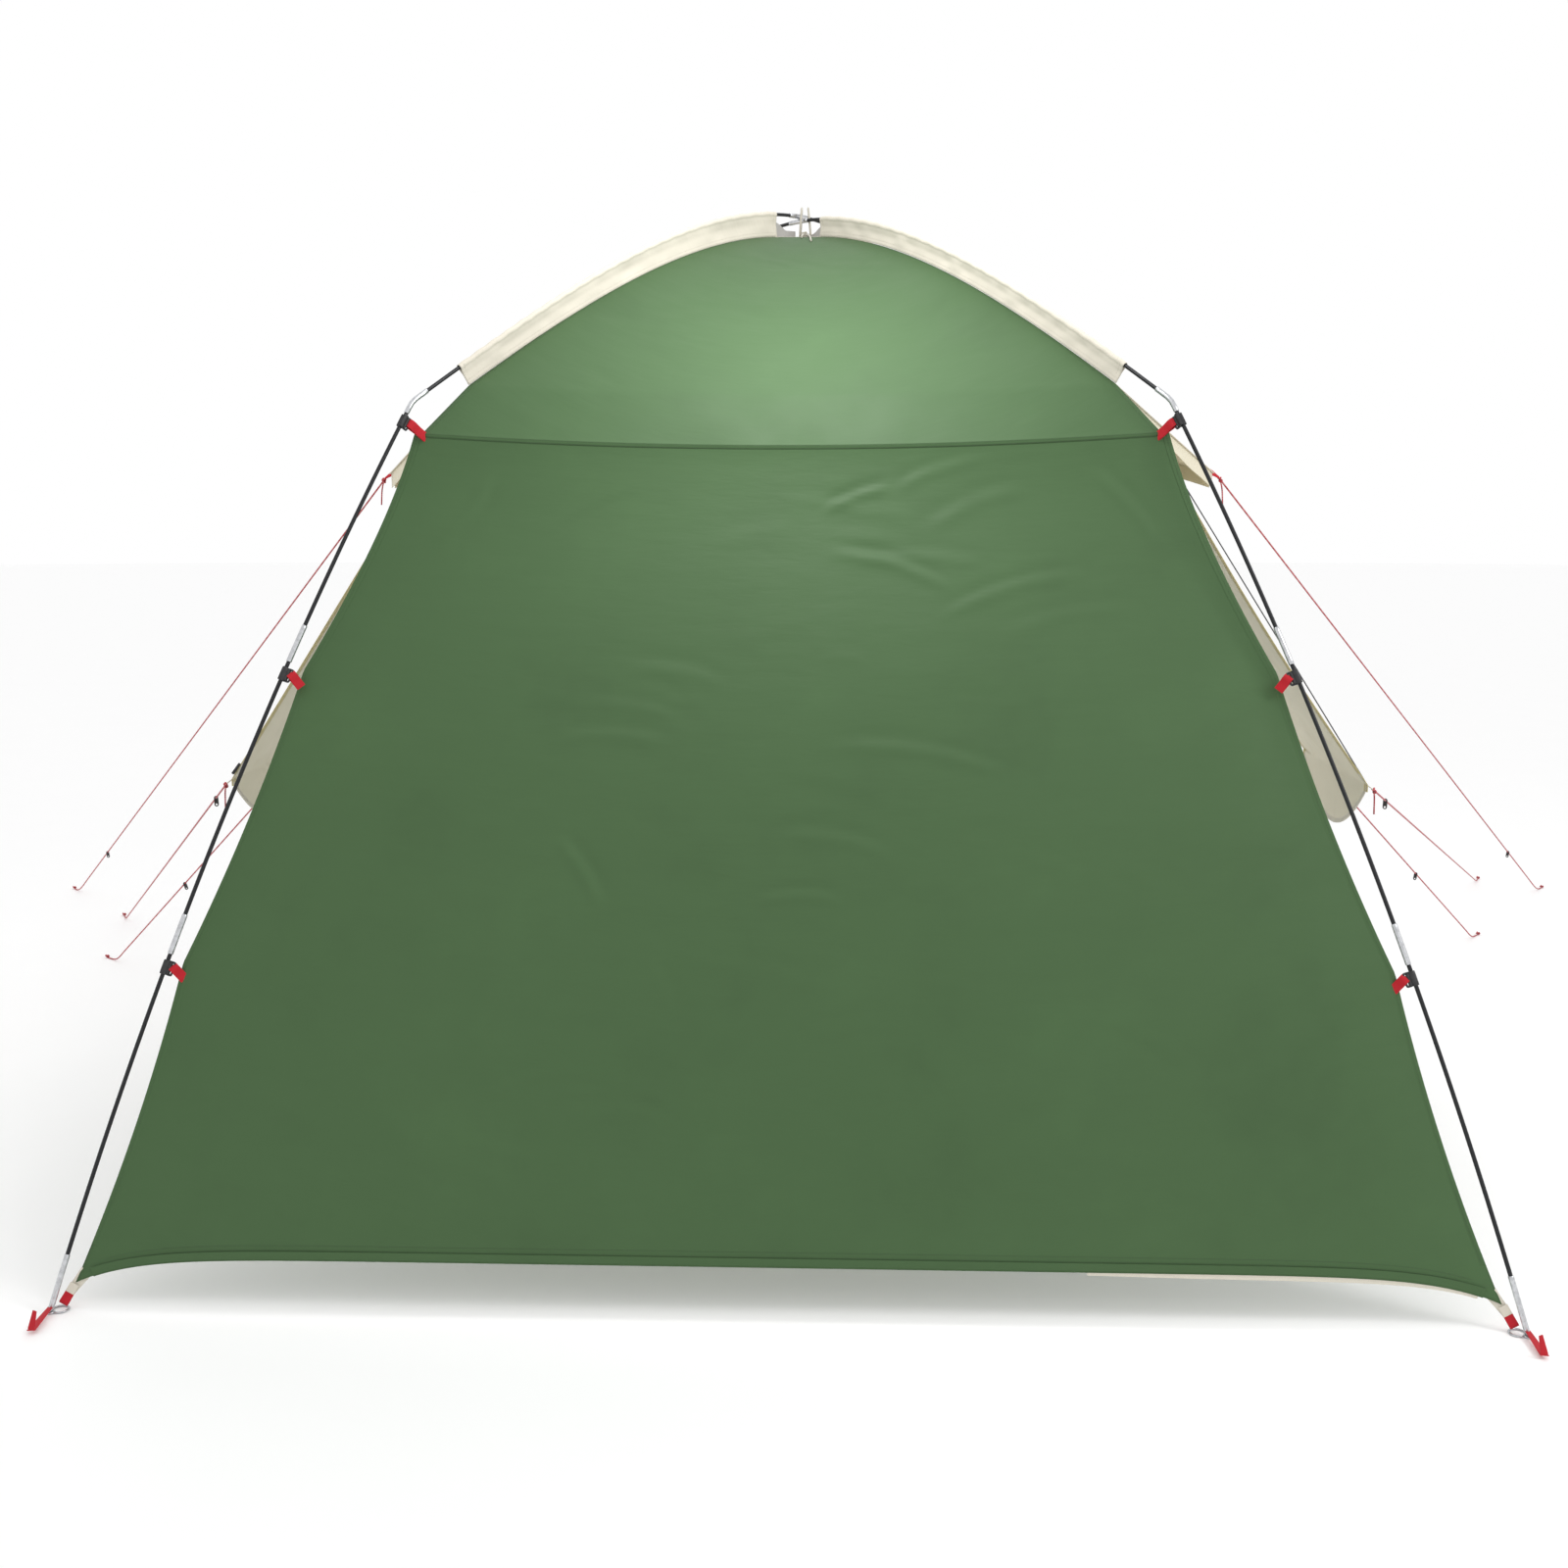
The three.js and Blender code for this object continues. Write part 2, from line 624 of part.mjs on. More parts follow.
/** Flat slider with two holes; the rope runs through the first. */
function runner(ends, share) {
  const [run] = ropeRoute(ends).curves;
  const straight = RUNNER_LENGTH / 2 - RUNNER_WIDTH / 2;
  const bar = new THREE.Shape();
  bar.absarc(straight, 0, RUNNER_WIDTH / 2, -Math.PI / 2, Math.PI / 2, false);
  bar.absarc(-straight, 0, RUNNER_WIDTH / 2, Math.PI / 2, (3 * Math.PI) / 2, false);
  bar.closePath();
  for (const x of [-straight, straight]) {
    const hole = new THREE.Path();
    hole.absarc(x, 0, RUNNER_HOLE, 0, 2 * Math.PI, true);
    bar.holes.push(hole);
  }
  const plate = new THREE.ExtrudeGeometry(bar, {
    depth: RUNNER_THICKNESS,
    bevelEnabled: false,
    curveSegments: 4,
  });
  plate.translate(straight, 0, -RUNNER_THICKNESS / 2);
  const along = run.v2.clone().sub(run.v1).normalize();
  const level = new THREE.Vector3(0, 0, 1).cross(along).normalize();
  const uphill = level.clone().cross(along).normalize();
  const place = new THREE.Matrix4().makeBasis(uphill, level, along);
  return plate.applyMatrix4(place.setPosition(run.getPoint(share)));
}

// Each rope: where it is tied, where it meets the ground, and how far down it its runner sits.
const guys = {
  left_visor: { ends: [[-1028, 0, 1562], [-2915, 2220]], share: 0.86 },
  right_visor: { ends: [[1028, 0, 1562], [2880, 2440]], share: 0.86 },
  left_flap_near: { ends: [[-1312, -428, 852], [-2530, 1760]], share: 0.07 },
  right_flap_near: { ends: [[1312, -428, 852], [2700, 2600]], share: 0.07 },
  left_flap_far: { ends: [[-1398, 428, 822], [-2310, 1165]], share: 0.6 },
  right_flap_far: { ends: [[1398, 428, 822], [2335, 1640]], share: 0.6 },
};

// ---- assembly ----------------------------------------------------------------------------------

const shelter = new THREE.Group();

function addPart(name, geometry, material, parent = shelter) {
  const part = new THREE.Mesh(geometry, material);
  part.name = name;
  parent.add(part);
}

for (const [corner, [sx, sy]] of Object.entries(corners)) {
  const leg = new THREE.Group();
  const pole = poleFrom(corner);
  const upperTop = pole.elbowStart - ROD_END_GAP;
  const roofStart = pole.elbowEnd + ROD_END_GAP;
  const elbowTube = socketTube(pole, pole.elbow - ELBOW_LOWER_ARM, pole.elbow + ELBOW_UPPER_ARM);
  addPart(`${corner}_lower_section`, lowerSection(pole), blackRod, leg);
  addPart(`${corner}_middle_section`, middleSection(pole), blackRod, leg);
  addPart(
    `${corner}_upper_section`,
    plainRod(pole, UPPER_START - FERRULE_INSERT, upperTop),
    blackRod,
    leg,
  );
  addPart(`${corner}_elbow`, elbowTube, silverMetal, leg);
  addPart(
    `${corner}_roof_rod`,
    plainRod(pole, roofStart, pole.half - ROD_END_GAP),
    blackRod,
    leg,
  );
  const lift = upperPole.includes(corner) ? POLE_STACK : 0;
  addPart(`${corner}_sleeve`, sleeve(pole, lift), creamCloth, leg);
  addPart(`${corner}_ring_pin`, ringPin(corner, pole), steelWire, leg);
  const towardsCentre = new THREE.Vector3(-sx, -sy, 0);
  const towardsWall = new THREE.Vector3(-sx, 0, 0);
  const near = sy < 0;
  const names = near ? ["lower", "middle", "upper"] : ["upper"];
  for (const name of names) {
    const s = clipLengths[["lower", "middle", "upper"].indexOf(name)];
    const inward = name === "upper" ? towardsCentre : towardsWall;
    addPart(`${corner}_${name}_clip`, hookClip(pole, s, inward), blackPlastic, leg);
  }
  shelter.add(leg);
}

for (const [name, corner] of [["upper_pole", "near_left"], ["lower_pole", "near_right"]]) {
  const pole = poleFrom(corner);
  const reach = CROWN_FERRULE_LENGTH / 2;
  const ferrule = socketTube(pole, pole.half - reach, pole.half + reach);
  addPart(`${name}_crown_ferrule`, ferrule, silverMetal);
  addPart(`${name}_shock_cord`, shockCord(pole), elastic);
}

addPart("near_wall", nearWall(), greenCloth);
addPart("near_roof", plainGore(-1), greenCloth);
addPart("far_roof", plainGore(1), greenCloth);
addPart("crown_patch", crownPatch(), creamCloth);
for (const [name, side] of [["left", -1], ["right", 1]]) {
  addPart(`${name}_roof`, visorGore(side), creamCloth);
  addPart(`${name}_flap`, flap(side), creamCloth);
}

for (const [name, { ends, share }] of Object.entries(guys)) {
  addPart(`${name}_rope`, rope(ends), guyRope);
  addPart(`${name}_runner`, runner(ends, share), blackPlastic);
}

export default shelter;
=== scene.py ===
"""Looks of a dome shelter: a green wall and roof, cream visors, sleeves and flaps, on two crossed poles."""

import math

import bpy
import numpy as np
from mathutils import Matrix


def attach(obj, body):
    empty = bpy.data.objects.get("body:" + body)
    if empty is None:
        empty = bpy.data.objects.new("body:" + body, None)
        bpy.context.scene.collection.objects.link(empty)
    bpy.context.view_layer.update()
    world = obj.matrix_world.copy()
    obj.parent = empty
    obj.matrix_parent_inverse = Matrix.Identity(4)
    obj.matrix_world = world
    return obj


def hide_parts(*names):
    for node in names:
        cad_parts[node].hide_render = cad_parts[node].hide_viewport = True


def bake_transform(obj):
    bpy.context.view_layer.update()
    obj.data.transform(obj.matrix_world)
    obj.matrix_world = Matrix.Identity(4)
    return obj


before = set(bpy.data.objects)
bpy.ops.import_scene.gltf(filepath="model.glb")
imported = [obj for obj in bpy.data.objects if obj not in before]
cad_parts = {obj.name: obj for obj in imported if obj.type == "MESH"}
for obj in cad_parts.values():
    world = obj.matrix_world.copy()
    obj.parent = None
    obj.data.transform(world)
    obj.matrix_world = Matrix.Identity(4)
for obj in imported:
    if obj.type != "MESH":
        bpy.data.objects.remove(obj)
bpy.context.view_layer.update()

bl_info = {
    "name": "Dome shelter",
    "version": (1, 0, 0),
    "blender": (4, 5, 0),
    "location": "View3D > Sidebar > Shelter",
    "description": "Dresses the packed frame of a dome shelter with cloth, webbing, poles and ropes",
    "category": "Add Mesh",
}

# ---- sizes of the frame, in metres -------------------------------------------------------------

FOOT_SPAN = 2.7
ELBOW_SPAN = 1.53
ELBOW_HEIGHT = 1.692
CROWN_HEIGHT = 2.18
POLE_STACK = 0.0116
FOOT_LIFT = 0.0064
LEG_BOW = 0.045
ELBOW_BEND = 0.01
ROOF_SHOULDER = (0.69, 1.95)
ROOF_CROWN_HANDLE = 0.33
ROD = 0.004
FERRULE = 0.0055
FOOT_TUBE = 0.0053
FOOT_LENGTH = 0.105
BAR_RIM = 0.0007
FIRST_FERRULE = 0.685
MIDDLE_START = 0.764
SECOND_FERRULE = 1.289
UPPER_START = 1.368
FERRULE_INSERT = 0.038
ELBOW_LOWER_ARM = 0.028
ELBOW_UPPER_ARM = 0.042
CROWN_REACH = 0.031
SLEEVE_DEPTH = 0.040
SLEEVE_START = 0.135
SLEEVE_END = 0.078
SLEEVE_BORE = 0.0062
SLEEVE_WRAP = 2.45
SLEEVE_ROUND = 0.42
EAVE_CORNER = 0.750
EAVE_HEIGHT = 1.630
EAVE_SAG = 0.026
EAVE_OVERLAP = 0.004
EAVE_SHARE = 0.9
ROOF_SAG = 0.016
VISOR_TIP = (1.012, 1.570)
VISOR_START = 0.66
FLAP_TOP = (0.812, 1.606)
FLAP_HALF_WIDTH = 0.420
FLAP_NEAR = (1.300, -0.420, 0.862)
FLAP_FAR = (1.385, 0.420, 0.832)
FLAP_VALANCE = 0.140
FLAP_SELVAGE = 0.012
FLAP_SLACK = 0.012
FLAP_TAUT = 0.8
WALL_SET_BACK = 0.012
WALL_GAP = 0.028
WALL_HOLLOW = 0.018
HEM_HEIGHT = 0.100
HEM_CORNER = 0.050
CLIP_BELOW_FERRULE = 0.026
CLIP_BELOW_ELBOW = 0.046
STRAP_SEAM = 0.0072
STRAP_GAP = 0.0022
ROPE_REST = 0.060
ROPE_GROUND = 0.0025
ROPE_LAY = 0.011
ROPE_KNEE = 0.985

CORNERS = {"near_left": (-1, -1), "near_right": (1, -1), "far_left": (-1, 1), "far_right": (1, 1)}
UPPER_POLE = ("near_left", "far_right")
BODY = "shelter"
CURVE_POINTS = 500

# Each rope: where it is tied, and where it meets the ground.
ROPES = {
    "left_visor": ((-1.028, 0, 1.562), (-2.915, 2.220)),
    "right_visor": ((1.028, 0, 1.562), (2.880, 2.440)),
    "left_flap_near": ((-1.312, -0.428, 0.852), (-2.530, 1.760)),
    "right_flap_near": ((1.312, -0.428, 0.852), (2.700, 2.600)),
    "left_flap_far": ((-1.398, 0.428, 0.822), (-2.310, 1.165)),
    "right_flap_far": ((1.398, 0.428, 0.822), (2.335, 1.640)),
}

# ---- what a user may change --------------------------------------------------------------------


def colour(name, description, default):
    """A colour setting."""
    return bpy.props.FloatVectorProperty(
        name=name, description=description, default=default, size=3, min=0, max=1, subtype="COLOR"
    )


def length(name, description, default):
    """A length setting."""
    return bpy.props.FloatProperty(
        name=name, description=description, default=default, min=0, unit="LENGTH"
    )


class ShelterColours(bpy.types.PropertyGroup):
    """Colours of the cloth, webbing, poles and ropes"""

    green: colour("Green cloth", "Wall and the plain roof gores", (0.055, 0.112, 0.042))
    cream: colour("Cream cloth", "Sleeves and crown patch", (0.64, 0.60, 0.51))
    flap: colour("Flap cloth", "Visors and hanging flaps", (0.70, 0.65, 0.50))
    red: colour("Red webbing", "Straps, corner loops and tabs", (0.50, 0.010, 0.020))
    black: colour("Black rod", "Fibreglass rods", (0.011, 0.012, 0.014))
    plastic: colour("Black plastic", "Clips and rope runners", (0.012, 0.012, 0.013))
    metal: colour("Aluminium", "Ferrules, elbows and pole feet", (0.62, 0.63, 0.65))
    rope: colour("Rope", "Main colour of the braided ropes", (0.50, 0.012, 0.026))
    floor: colour("Floor", "Pale studio floor", (0.98, 0.98, 0.98))


class ShelterSizes(bpy.types.PropertyGroup):
    """Sizes of the sewn and tied details"""

    cloth: length("Cloth thickness", "Thickness of wall, roof and flaps", 0.0007)
    strap_width: length("Strap width", "Width of the red webbing", 0.020)
    strap: length("Strap thickness", "Thickness of the red webbing", 0.0015)
    seam_width: length("Seam width", "Width of a folded seam", 0.010)
    stitch: length("Stitch length", "Length of one stitch", 0.0032)
    rope: length("Rope diameter", "Diameter of the guy ropes", 0.0042)


def colours():
    """The colour settings."""
    return bpy.context.scene.shelter_colours


def sizes():
    """The size settings."""
    return bpy.context.scene.shelter_sizes


# ---- arrays of points --------------------------------------------------------------------------


def unit(v):
    """Vectors divided by their lengths."""
    return v / np.linalg.norm(v, axis=-1, keepdims=True)


def lerp(a, b, t):
    """a plus share t of the way to b."""
    return a + (b - a) * t


def smooth(t):
    """3t^2 - 2t^3 of t kept between 0 and 1."""
    t = np.clip(t, 0, 1)
    return t * t * (3 - 2 * t)


def turns(count):
    """A full turn in equal steps, as angles."""
    return 2 * np.pi * np.arange(count) / count


def run(points):
    """Length along a line of points up to each of them."""
    steps = np.linalg.norm(np.diff(points, axis=0), axis=-1)
    return np.concatenate([[0], np.cumsum(steps)])


def bend(handles, t):
    """Point at share t of a curve with handles: neighbours are blended by t until one point is left."""
    layer = [np.asarray(h, float)[None] for h in handles]
    while len(layer) > 1:
        layer = [lerp(a, b, t[:, None]) for a, b in zip(layer, layer[1:])]
    return layer[0]


def through(points, step):
    """Smooth line through points: cubic blend between neighbours with slopes from the points beside them."""
    p = np.asarray(points, float)
    at = run(p)
    slope = np.gradient(p, at, axis=0)
    s = np.linspace(0, at[-1], max(4, int(at[-1] / step) + 1))
    i = np.clip(np.searchsorted(at, s, "right") - 1, 0, len(p) - 2)
    gap = (at[i + 1] - at[i])[:, None]
    t = (s - at[i])[:, None] / gap
    start = (1 + 2 * t) * (1 - t) ** 2 * p[i] + t * (1 - t) ** 2 * gap * slope[i]
    return start + t * t * (3 - 2 * t) * p[i + 1] + t * t * (t - 1) * gap * slope[i + 1]


class Skin:
    """Points, faces, face corner UVs and paint numbers of one piece, gathered from several surfaces."""

    def __init__(self):
        self.points, self.loops, self.totals, self.uvs, self.paints = [], [], [], [], []
        self.count = 0

    def add(self, faces, uvs, paint):
        """Adds faces of one size; their corner numbers count from this surface's first point."""
        self.loops.append((faces + self.count).ravel())
        self.totals.append(np.full(len(faces), faces.shape[1]))
        self.uvs.append(uvs.reshape(-1, 2))
        self.paints.append(np.broadcast_to(paint, len(faces)))

    def grid(self, points, uv=None, around=False, ring=False, ends=True, paint=0):
        """A grid of points as quads; around joins each row's ends, ring joins the last row to the first."""
        rows, columns = points.shape[:2]
        tall, wide = rows if ring else rows - 1, columns if around else columns - 1
        i, j = np.meshgrid(np.arange(tall), np.arange(wide), indexing="ij")
        lattice = [(i, j), (i + 1, j), (i + 1, j + 1), (i, j + 1)]
        quads = np.stack([a % rows * columns + b % columns for a, b in lattice], -1).reshape(-1, 4)
        uv = np.zeros((rows, columns, 2)) if uv is None else uv
        spots = [uv[a % uv.shape[0], b % uv.shape[1]] for a, b in lattice]
        uvs = np.stack(spots, -2).reshape(-1, 4, 2)
        flat = points.reshape(-1, 3)
        capped = around and ends and not ring
        caps = np.stack([np.arange(columns), (rows - 1) * columns + np.arange(columns)[::-1]])
        if around and (ring or capped):
            centred = flat - flat.mean(0)
            fans = [quads[:, [0, 1, 2]], quads[:, [0, 2, 3]]]
            if capped:
                fans += [
                    np.stack([np.full(columns - 2, cap[0]), cap[1:-1], cap[2:]], -1) for cap in caps
                ]
            a, b, c = (centred[np.concatenate(fans)[:, k]] for k in range(3))
            if (a * np.cross(b, c)).sum() < 0:
                quads, uvs, caps = quads[:, ::-1], uvs[:, ::-1], caps[:, ::-1]
        paints = np.broadcast_to(paint, (rows,))[i.ravel()]
        self.add(quads, uvs, paints)
        if capped:
            ends_paint = np.broadcast_to(paint, (rows,))[[0, -1]]
            self.add(caps, np.zeros((2, columns, 2)), ends_paint)
        self.points.append(flat)
        self.count += len(flat)
        return self

    def solids(self, points, faces, paint=0):
        """Many small bodies of the same faces: points is bodies x corners x 3."""
        bodies, corners = points.shape[:2]
        all_faces = (faces[None] + (np.arange(bodies) * corners)[:, None, None]).reshape(
            -1, faces.shape[1]
        )
        self.add(all_faces, np.zeros((len(all_faces), faces.shape[1], 2)), paint)
        self.points.append(points.reshape(-1, 3))
        self.count += bodies * corners
        return self

    def make(self, name, materials, sharp=40):
        """The piece as an object, smooth except at edges sharper than sharp degrees."""
        mesh = bpy.data.meshes.new(name)
        loops, totals = np.concatenate(self.loops), np.concatenate(self.totals)
        mesh.vertices.add(self.count)
        mesh.vertices.foreach_set("co", np.concatenate(self.points).astype(np.float32).ravel())
        mesh.loops.add(len(loops))
        mesh.loops.foreach_set("vertex_index", loops.astype(np.int32))
        mesh.polygons.add(len(totals))
        mesh.polygons.foreach_set("loop_start", (np.cumsum(totals) - totals).astype(np.int32))
        for material in materials:
            mesh.materials.append(material)
        mesh.polygons.foreach_set("material_index", np.concatenate(self.paints).astype(np.int32))
        mesh.polygons.foreach_set("use_smooth", np.ones(len(totals), bool))
        layer = mesh.uv_layers.new(name="UVMap")
        layer.data.foreach_set("uv", np.concatenate(self.uvs).astype(np.float32).ravel())
        mesh.update(calc_edges=True)
        mesh.validate()
        mesh.set_sharp_from_angle(angle=math.radians(sharp))
        piece = bpy.data.objects.new(name, mesh)
        bpy.context.scene.collection.objects.link(piece)
        return piece


def place(piece, body=BODY, nodes=()):
    """The piece rides on its body and stands for some CAD nodes, which are hidden."""
    if nodes:
        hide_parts(*nodes)
    if body:
        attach(piece, body)
    return piece


def thicken(piece, thickness):
    """Gives an open sheet its thickness, half to each side."""
    wall = piece.modifiers.new("thickness", "SOLIDIFY")
    wall.thickness = thickness
    wall.offset = 0
    return piece


def sheet(points, name, look, node):
    """A sheet of cloth over a grid of points, standing for one CAD node."""
    piece = Skin().grid(points, cloth_uv(points)).make(name, [finishes()[look]])
    return place(thicken(piece, sizes().cloth), nodes=[node])


def cloth_uv(points):
    """UVs in metres: lengths across the rows and down the columns."""
    across = np.linalg.norm(np.diff(points, axis=1), axis=-1)
    down = np.linalg.norm(np.diff(points, axis=0), axis=-1)
    u = np.concatenate([np.zeros((len(points), 1)), np.cumsum(across, 1)], 1)
    v = np.concatenate([np.zeros((1, points.shape[1])), np.cumsum(down, 0)], 0)
    return np.stack([u - u[:, -1:] / 2, v], -1)


def normals_of(points):
    """Normals of a grid: the way down crossed with the way across."""
    return unit(np.cross(np.gradient(points, axis=0), np.gradient(points, axis=1)))


# ---- swept shapes ------------------------------------------------------------------------------


def frames(path, toward, ring=False):
    """Unit vectors along a path, sideways, and the part of toward that is square to the path."""
    if ring:
        along = unit(np.roll(path, -1, 0) - np.roll(path, 1, 0))
    else:
        along = unit(np.gradient(path, axis=0))
    toward = np.broadcast_to(np.asarray(toward, float), path.shape)
    side = unit(np.cross(along, toward))
    return along, side, np.cross(side, along)


def tube(skin, path, toward, radius, sides=12, ring=False, paint=0):
    """Circle of a radius for each point carried along a path; UV is the share round it and metres along."""
    _, side, up = frames(path, toward, ring)
    turn = turns(sides)
    radius = np.broadcast_to(radius, len(path))[:, None, None]
    rim = np.cos(turn)[None, :, None] * side[:, None] + np.sin(turn)[None, :, None] * up[:, None]
    u, v = np.meshgrid(np.arange(sides + 1) / sides, run(path))
    return skin.grid(
        path[:, None] + radius * rim, np.stack([u, v], -1), around=True, ring=ring, paint=paint
    )


def ribbon(skin, path, across, width, thickness, paint=0):
    """Flat strap: a rounded flat section, wide along across, carried along a path; UV is in metres."""
    along = unit(np.gradient(path, axis=0))
    across = np.broadcast_to(np.asarray(across, float), path.shape)
    across = unit(across - along * (along * across).sum(-1, keepdims=True))
    up = np.cross(across, along)
    turn = 2 * np.pi * (np.arange(14) + 0.5) / 14
    x = np.sign(np.cos(turn)) * np.abs(np.cos(turn)) ** 0.35
    y = np.sign(np.sin(turn)) * np.abs(np.sin(turn)) ** 0.45
    width = np.broadcast_to(width, len(path))[:, None]
    wide, thick = width * x / 2, np.broadcast_to(thickness * y / 2, (len(path), 14))
    points = path[:, None] + wide[..., None] * across[:, None] + thick[..., None] * up[:, None]
    uv = np.stack([wide, np.broadcast_to(run(path)[:, None], wide.shape)], -1)
    return skin.grid(points, uv, around=True, paint=paint)


def stitches(skin, path, outward, lift=0.0004, paint=0):
    """Row of stitches: slim double pyramids, one per step along a path, laid on its outward side."""
    long = sizes().stitch
    s = np.arange(long, run(path)[-1] - long, long * 1.45)
    if len(s) == 0:
        return skin
    at = run(path)
    outward = np.broadcast_to(np.asarray(outward, float), path.shape)
    spot = np.stack([np.interp(s, at, path[:, k]) for k in range(3)], -1)
    out = unit(np.stack([np.interp(s, at, outward[:, k]) for k in range(3)], -1))
    slope = np.gradient(path, at, axis=0)
    along = unit(np.stack([np.interp(s, at, slope[:, k]) for k in range(3)], -1))
    side = unit(np.cross(along, out))
    spot = spot + out * lift
    thin = 0.00042
    tips = [spot - along * long / 2, spot + along * long / 2]
    rim = [spot + side * thin, spot + out * thin, spot - side * thin, spot - out * thin]
    faces = [[1, 2, 3], [1, 3, 4], [1, 4, 5], [1, 5, 2], [0, 3, 2], [0, 4, 3], [0, 5, 4], [0, 2, 5]]
    points = np.stack([*tips, *rim], 1)
    a, b, c = (points[0] - points[0].mean(0))[np.array(faces)].transpose(1, 0, 2)
    order = 1 if (a * np.cross(b, c)).sum() > 0 else -1
    return skin.solids(points, np.array(faces)[:, ::order], paint)


# ---- materials ---------------------------------------------------------------------------------


class Finish:
    """A procedural material: a Principled shader fed by nodes."""

    def __init__(self, name, **sockets):
        self.material = bpy.data.materials.new(name)
        self.material.use_nodes = True
        self.tree = self.material.node_tree
        self.shader = self.tree.nodes["Principled BSDF"]
        for key, value in sockets.items():
            self.shader.inputs[key.replace("_", " ")].default_value = value

    def node(self, kind, inputs=(), **settings):
        """A shader node with its settings and inputs, each input a value or another node's output."""
        made = self.tree.nodes.new("ShaderNode" + kind)
        for key, value in settings.items():
            setattr(made, key, value)
        for key, value in dict(inputs).items():
            if isinstance(value, bpy.types.NodeSocket):
                self.tree.links.new(value, made.inputs[key])
            else:
                made.inputs[key].default_value = value
        return made

    def coordinates(self, kind, scale=(1, 1, 1), turn=0.0):
        """UV or Object coordinates through a Mapping node."""
        source = self.node("TexCoord").outputs[kind]
        inputs = {"Vector": source, "Scale": scale, "Rotation": (0, 0, turn)}
        return self.node("Mapping", inputs).outputs["Vector"]

    def noise(self, vector, scale, detail=3.0, rough=0.55):
        """Soft noise, about 0 to 1."""
        inputs = {"Vector": vector, "Scale": scale, "Detail": detail, "Roughness": rough}
        return self.node("TexNoise", inputs).outputs["Fac"]

    def math(self, operation, a, b=0.0, c=0.0):
        """One calculation."""
        return self.node("Math", {0: a, 1: b, 2: c}, operation=operation).outputs[0]

    def ramp(self, factor, stops, constant=False):
        """Colours by factor."""
        made = self.node("ValToRGB", {"Fac": factor})
        made.color_ramp.interpolation = "CONSTANT" if constant else "EASE"
        while len(made.color_ramp.elements) < len(stops):
            made.color_ramp.elements.new(0.5)
        for element, (at, shade) in zip(made.color_ramp.elements, stops):
            element.position = at
            element.color = (*shade, 1)
        return made.outputs["Color"]

    def mix(self, factor, a, b):
        """Blend of two colours."""
        made = self.node("Mix", data_type="RGBA")
        for socket, value in (
            (made.inputs[0], factor), (made.inputs[6], a), (made.inputs[7], b)
        ):
            if isinstance(value, bpy.types.NodeSocket):
                self.tree.links.new(value, socket)
            else:
                socket.default_value = value if isinstance(value, float) else (*value, 1)
        return made.outputs[2]

    def feed(self, key, value):
        """Links a node's output to the shader."""
        self.tree.links.new(value, self.shader.inputs[key])

    def bump(self, layers):
        """Bumps of (height, depth in metres, strength), one after another."""
        normal = None
        for height, depth, strength in layers:
            inputs = {"Height": height, "Distance": depth, "Strength": strength}
            if normal is not None:
                inputs["Normal"] = normal
            normal = self.node("Bump", inputs).outputs["Normal"]
        self.feed("Normal", normal)
        return self.material


def shade(base, factor):
    """A colour made darker or lighter."""
    return tuple(min(1.0, channel * factor) for channel in base)


def woven_height(finish, vector, pitch):
    """Plain weave: sine across times sine along, both with the thread pitch."""
    parts = finish.node("SeparateXYZ", {0: vector})
    turn = 2 * math.pi / pitch
    across = finish.math("SINE", finish.math("MULTIPLY", parts.outputs["X"], turn))
    along = finish.math("SINE", finish.math("MULTIPLY", parts.outputs["Y"], turn))
    return finish.math("MULTIPLY_ADD", finish.math("MULTIPLY", across, along), 0.5, 0.5)


def cloth_finish(name, base, rough=0.62, sheen=0.12, crease=0.0016, specular=0.3):
    """Coated taffeta: fine weave, slubs, soft mottling, faint long creases and dusty patches."""
    finish = Finish(
        name, Roughness=rough, Sheen_Weight=sheen, Sheen_Roughness=0.45, Specular_IOR_Level=specular
    )
    uv = finish.coordinates("UV")
    mottle = finish.noise(uv, 2.6, 4.0, 0.6)
    slub = finish.noise(finish.coordinates("UV", (30, 900, 1)), 1.0, 2.0)
    tone = finish.ramp(mottle, [(0.25, shade(base, 0.90)), (0.5, base), (0.78, shade(base, 1.09))])
    tone = finish.mix(finish.math("MULTIPLY", slub, 0.16), tone, shade(base, 0.72))
    finish.feed("Base Color", tone)
    worn = finish.noise(uv, 9.0, 3.0)
    finish.feed("Roughness", finish.math("MULTIPLY_ADD", worn, 0.16, rough - 0.08))
    weave = woven_height(finish, uv, 0.0016)
    long = finish.noise(finish.coordinates("UV", (1.3, 5.5, 1), 0.16), 1.7, 5.0, 0.52)
    fine = finish.noise(finish.coordinates("UV", (6.0, 17.0, 1), -0.32), 1.6, 4.0, 0.5)
    return finish.bump([(long, crease * 6, 0.55), (fine, crease, 0.5), (weave, 0.00004, 0.5)])


def webbing_finish(name, base, rib=0.0022):
    """Webbing: ribs across the strap and threads along it; the grooves between the ribs are painted darker as
    shade, and the ribs a little paler, partly wear and partly painted highlight.
    """
    finish = Finish(name, Roughness=0.72, Sheen_Weight=0.08, Sheen_Roughness=0.4, Specular_IOR_Level=0.3)
    uv = finish.coordinates("UV")
    weave = woven_height(finish, uv, rib)
    fuzz = finish.noise(finish.coordinates("Object"), 900.0, 2.0)
    # painted shade and highlight: the colour follows the weave's height, darker in the grooves and paler on
    # the rib tops
    tone = finish.mix(weave, shade(base, 0.66), shade(base, 1.12))
    patchy = finish.noise(uv, 60.0)
    finish.feed("Base Color", finish.mix(finish.math("MULTIPLY", patchy, 0.3), tone, base))
    return finish.bump([(weave, 0.0003, 0.7), (fuzz, 0.0001, 0.4)])


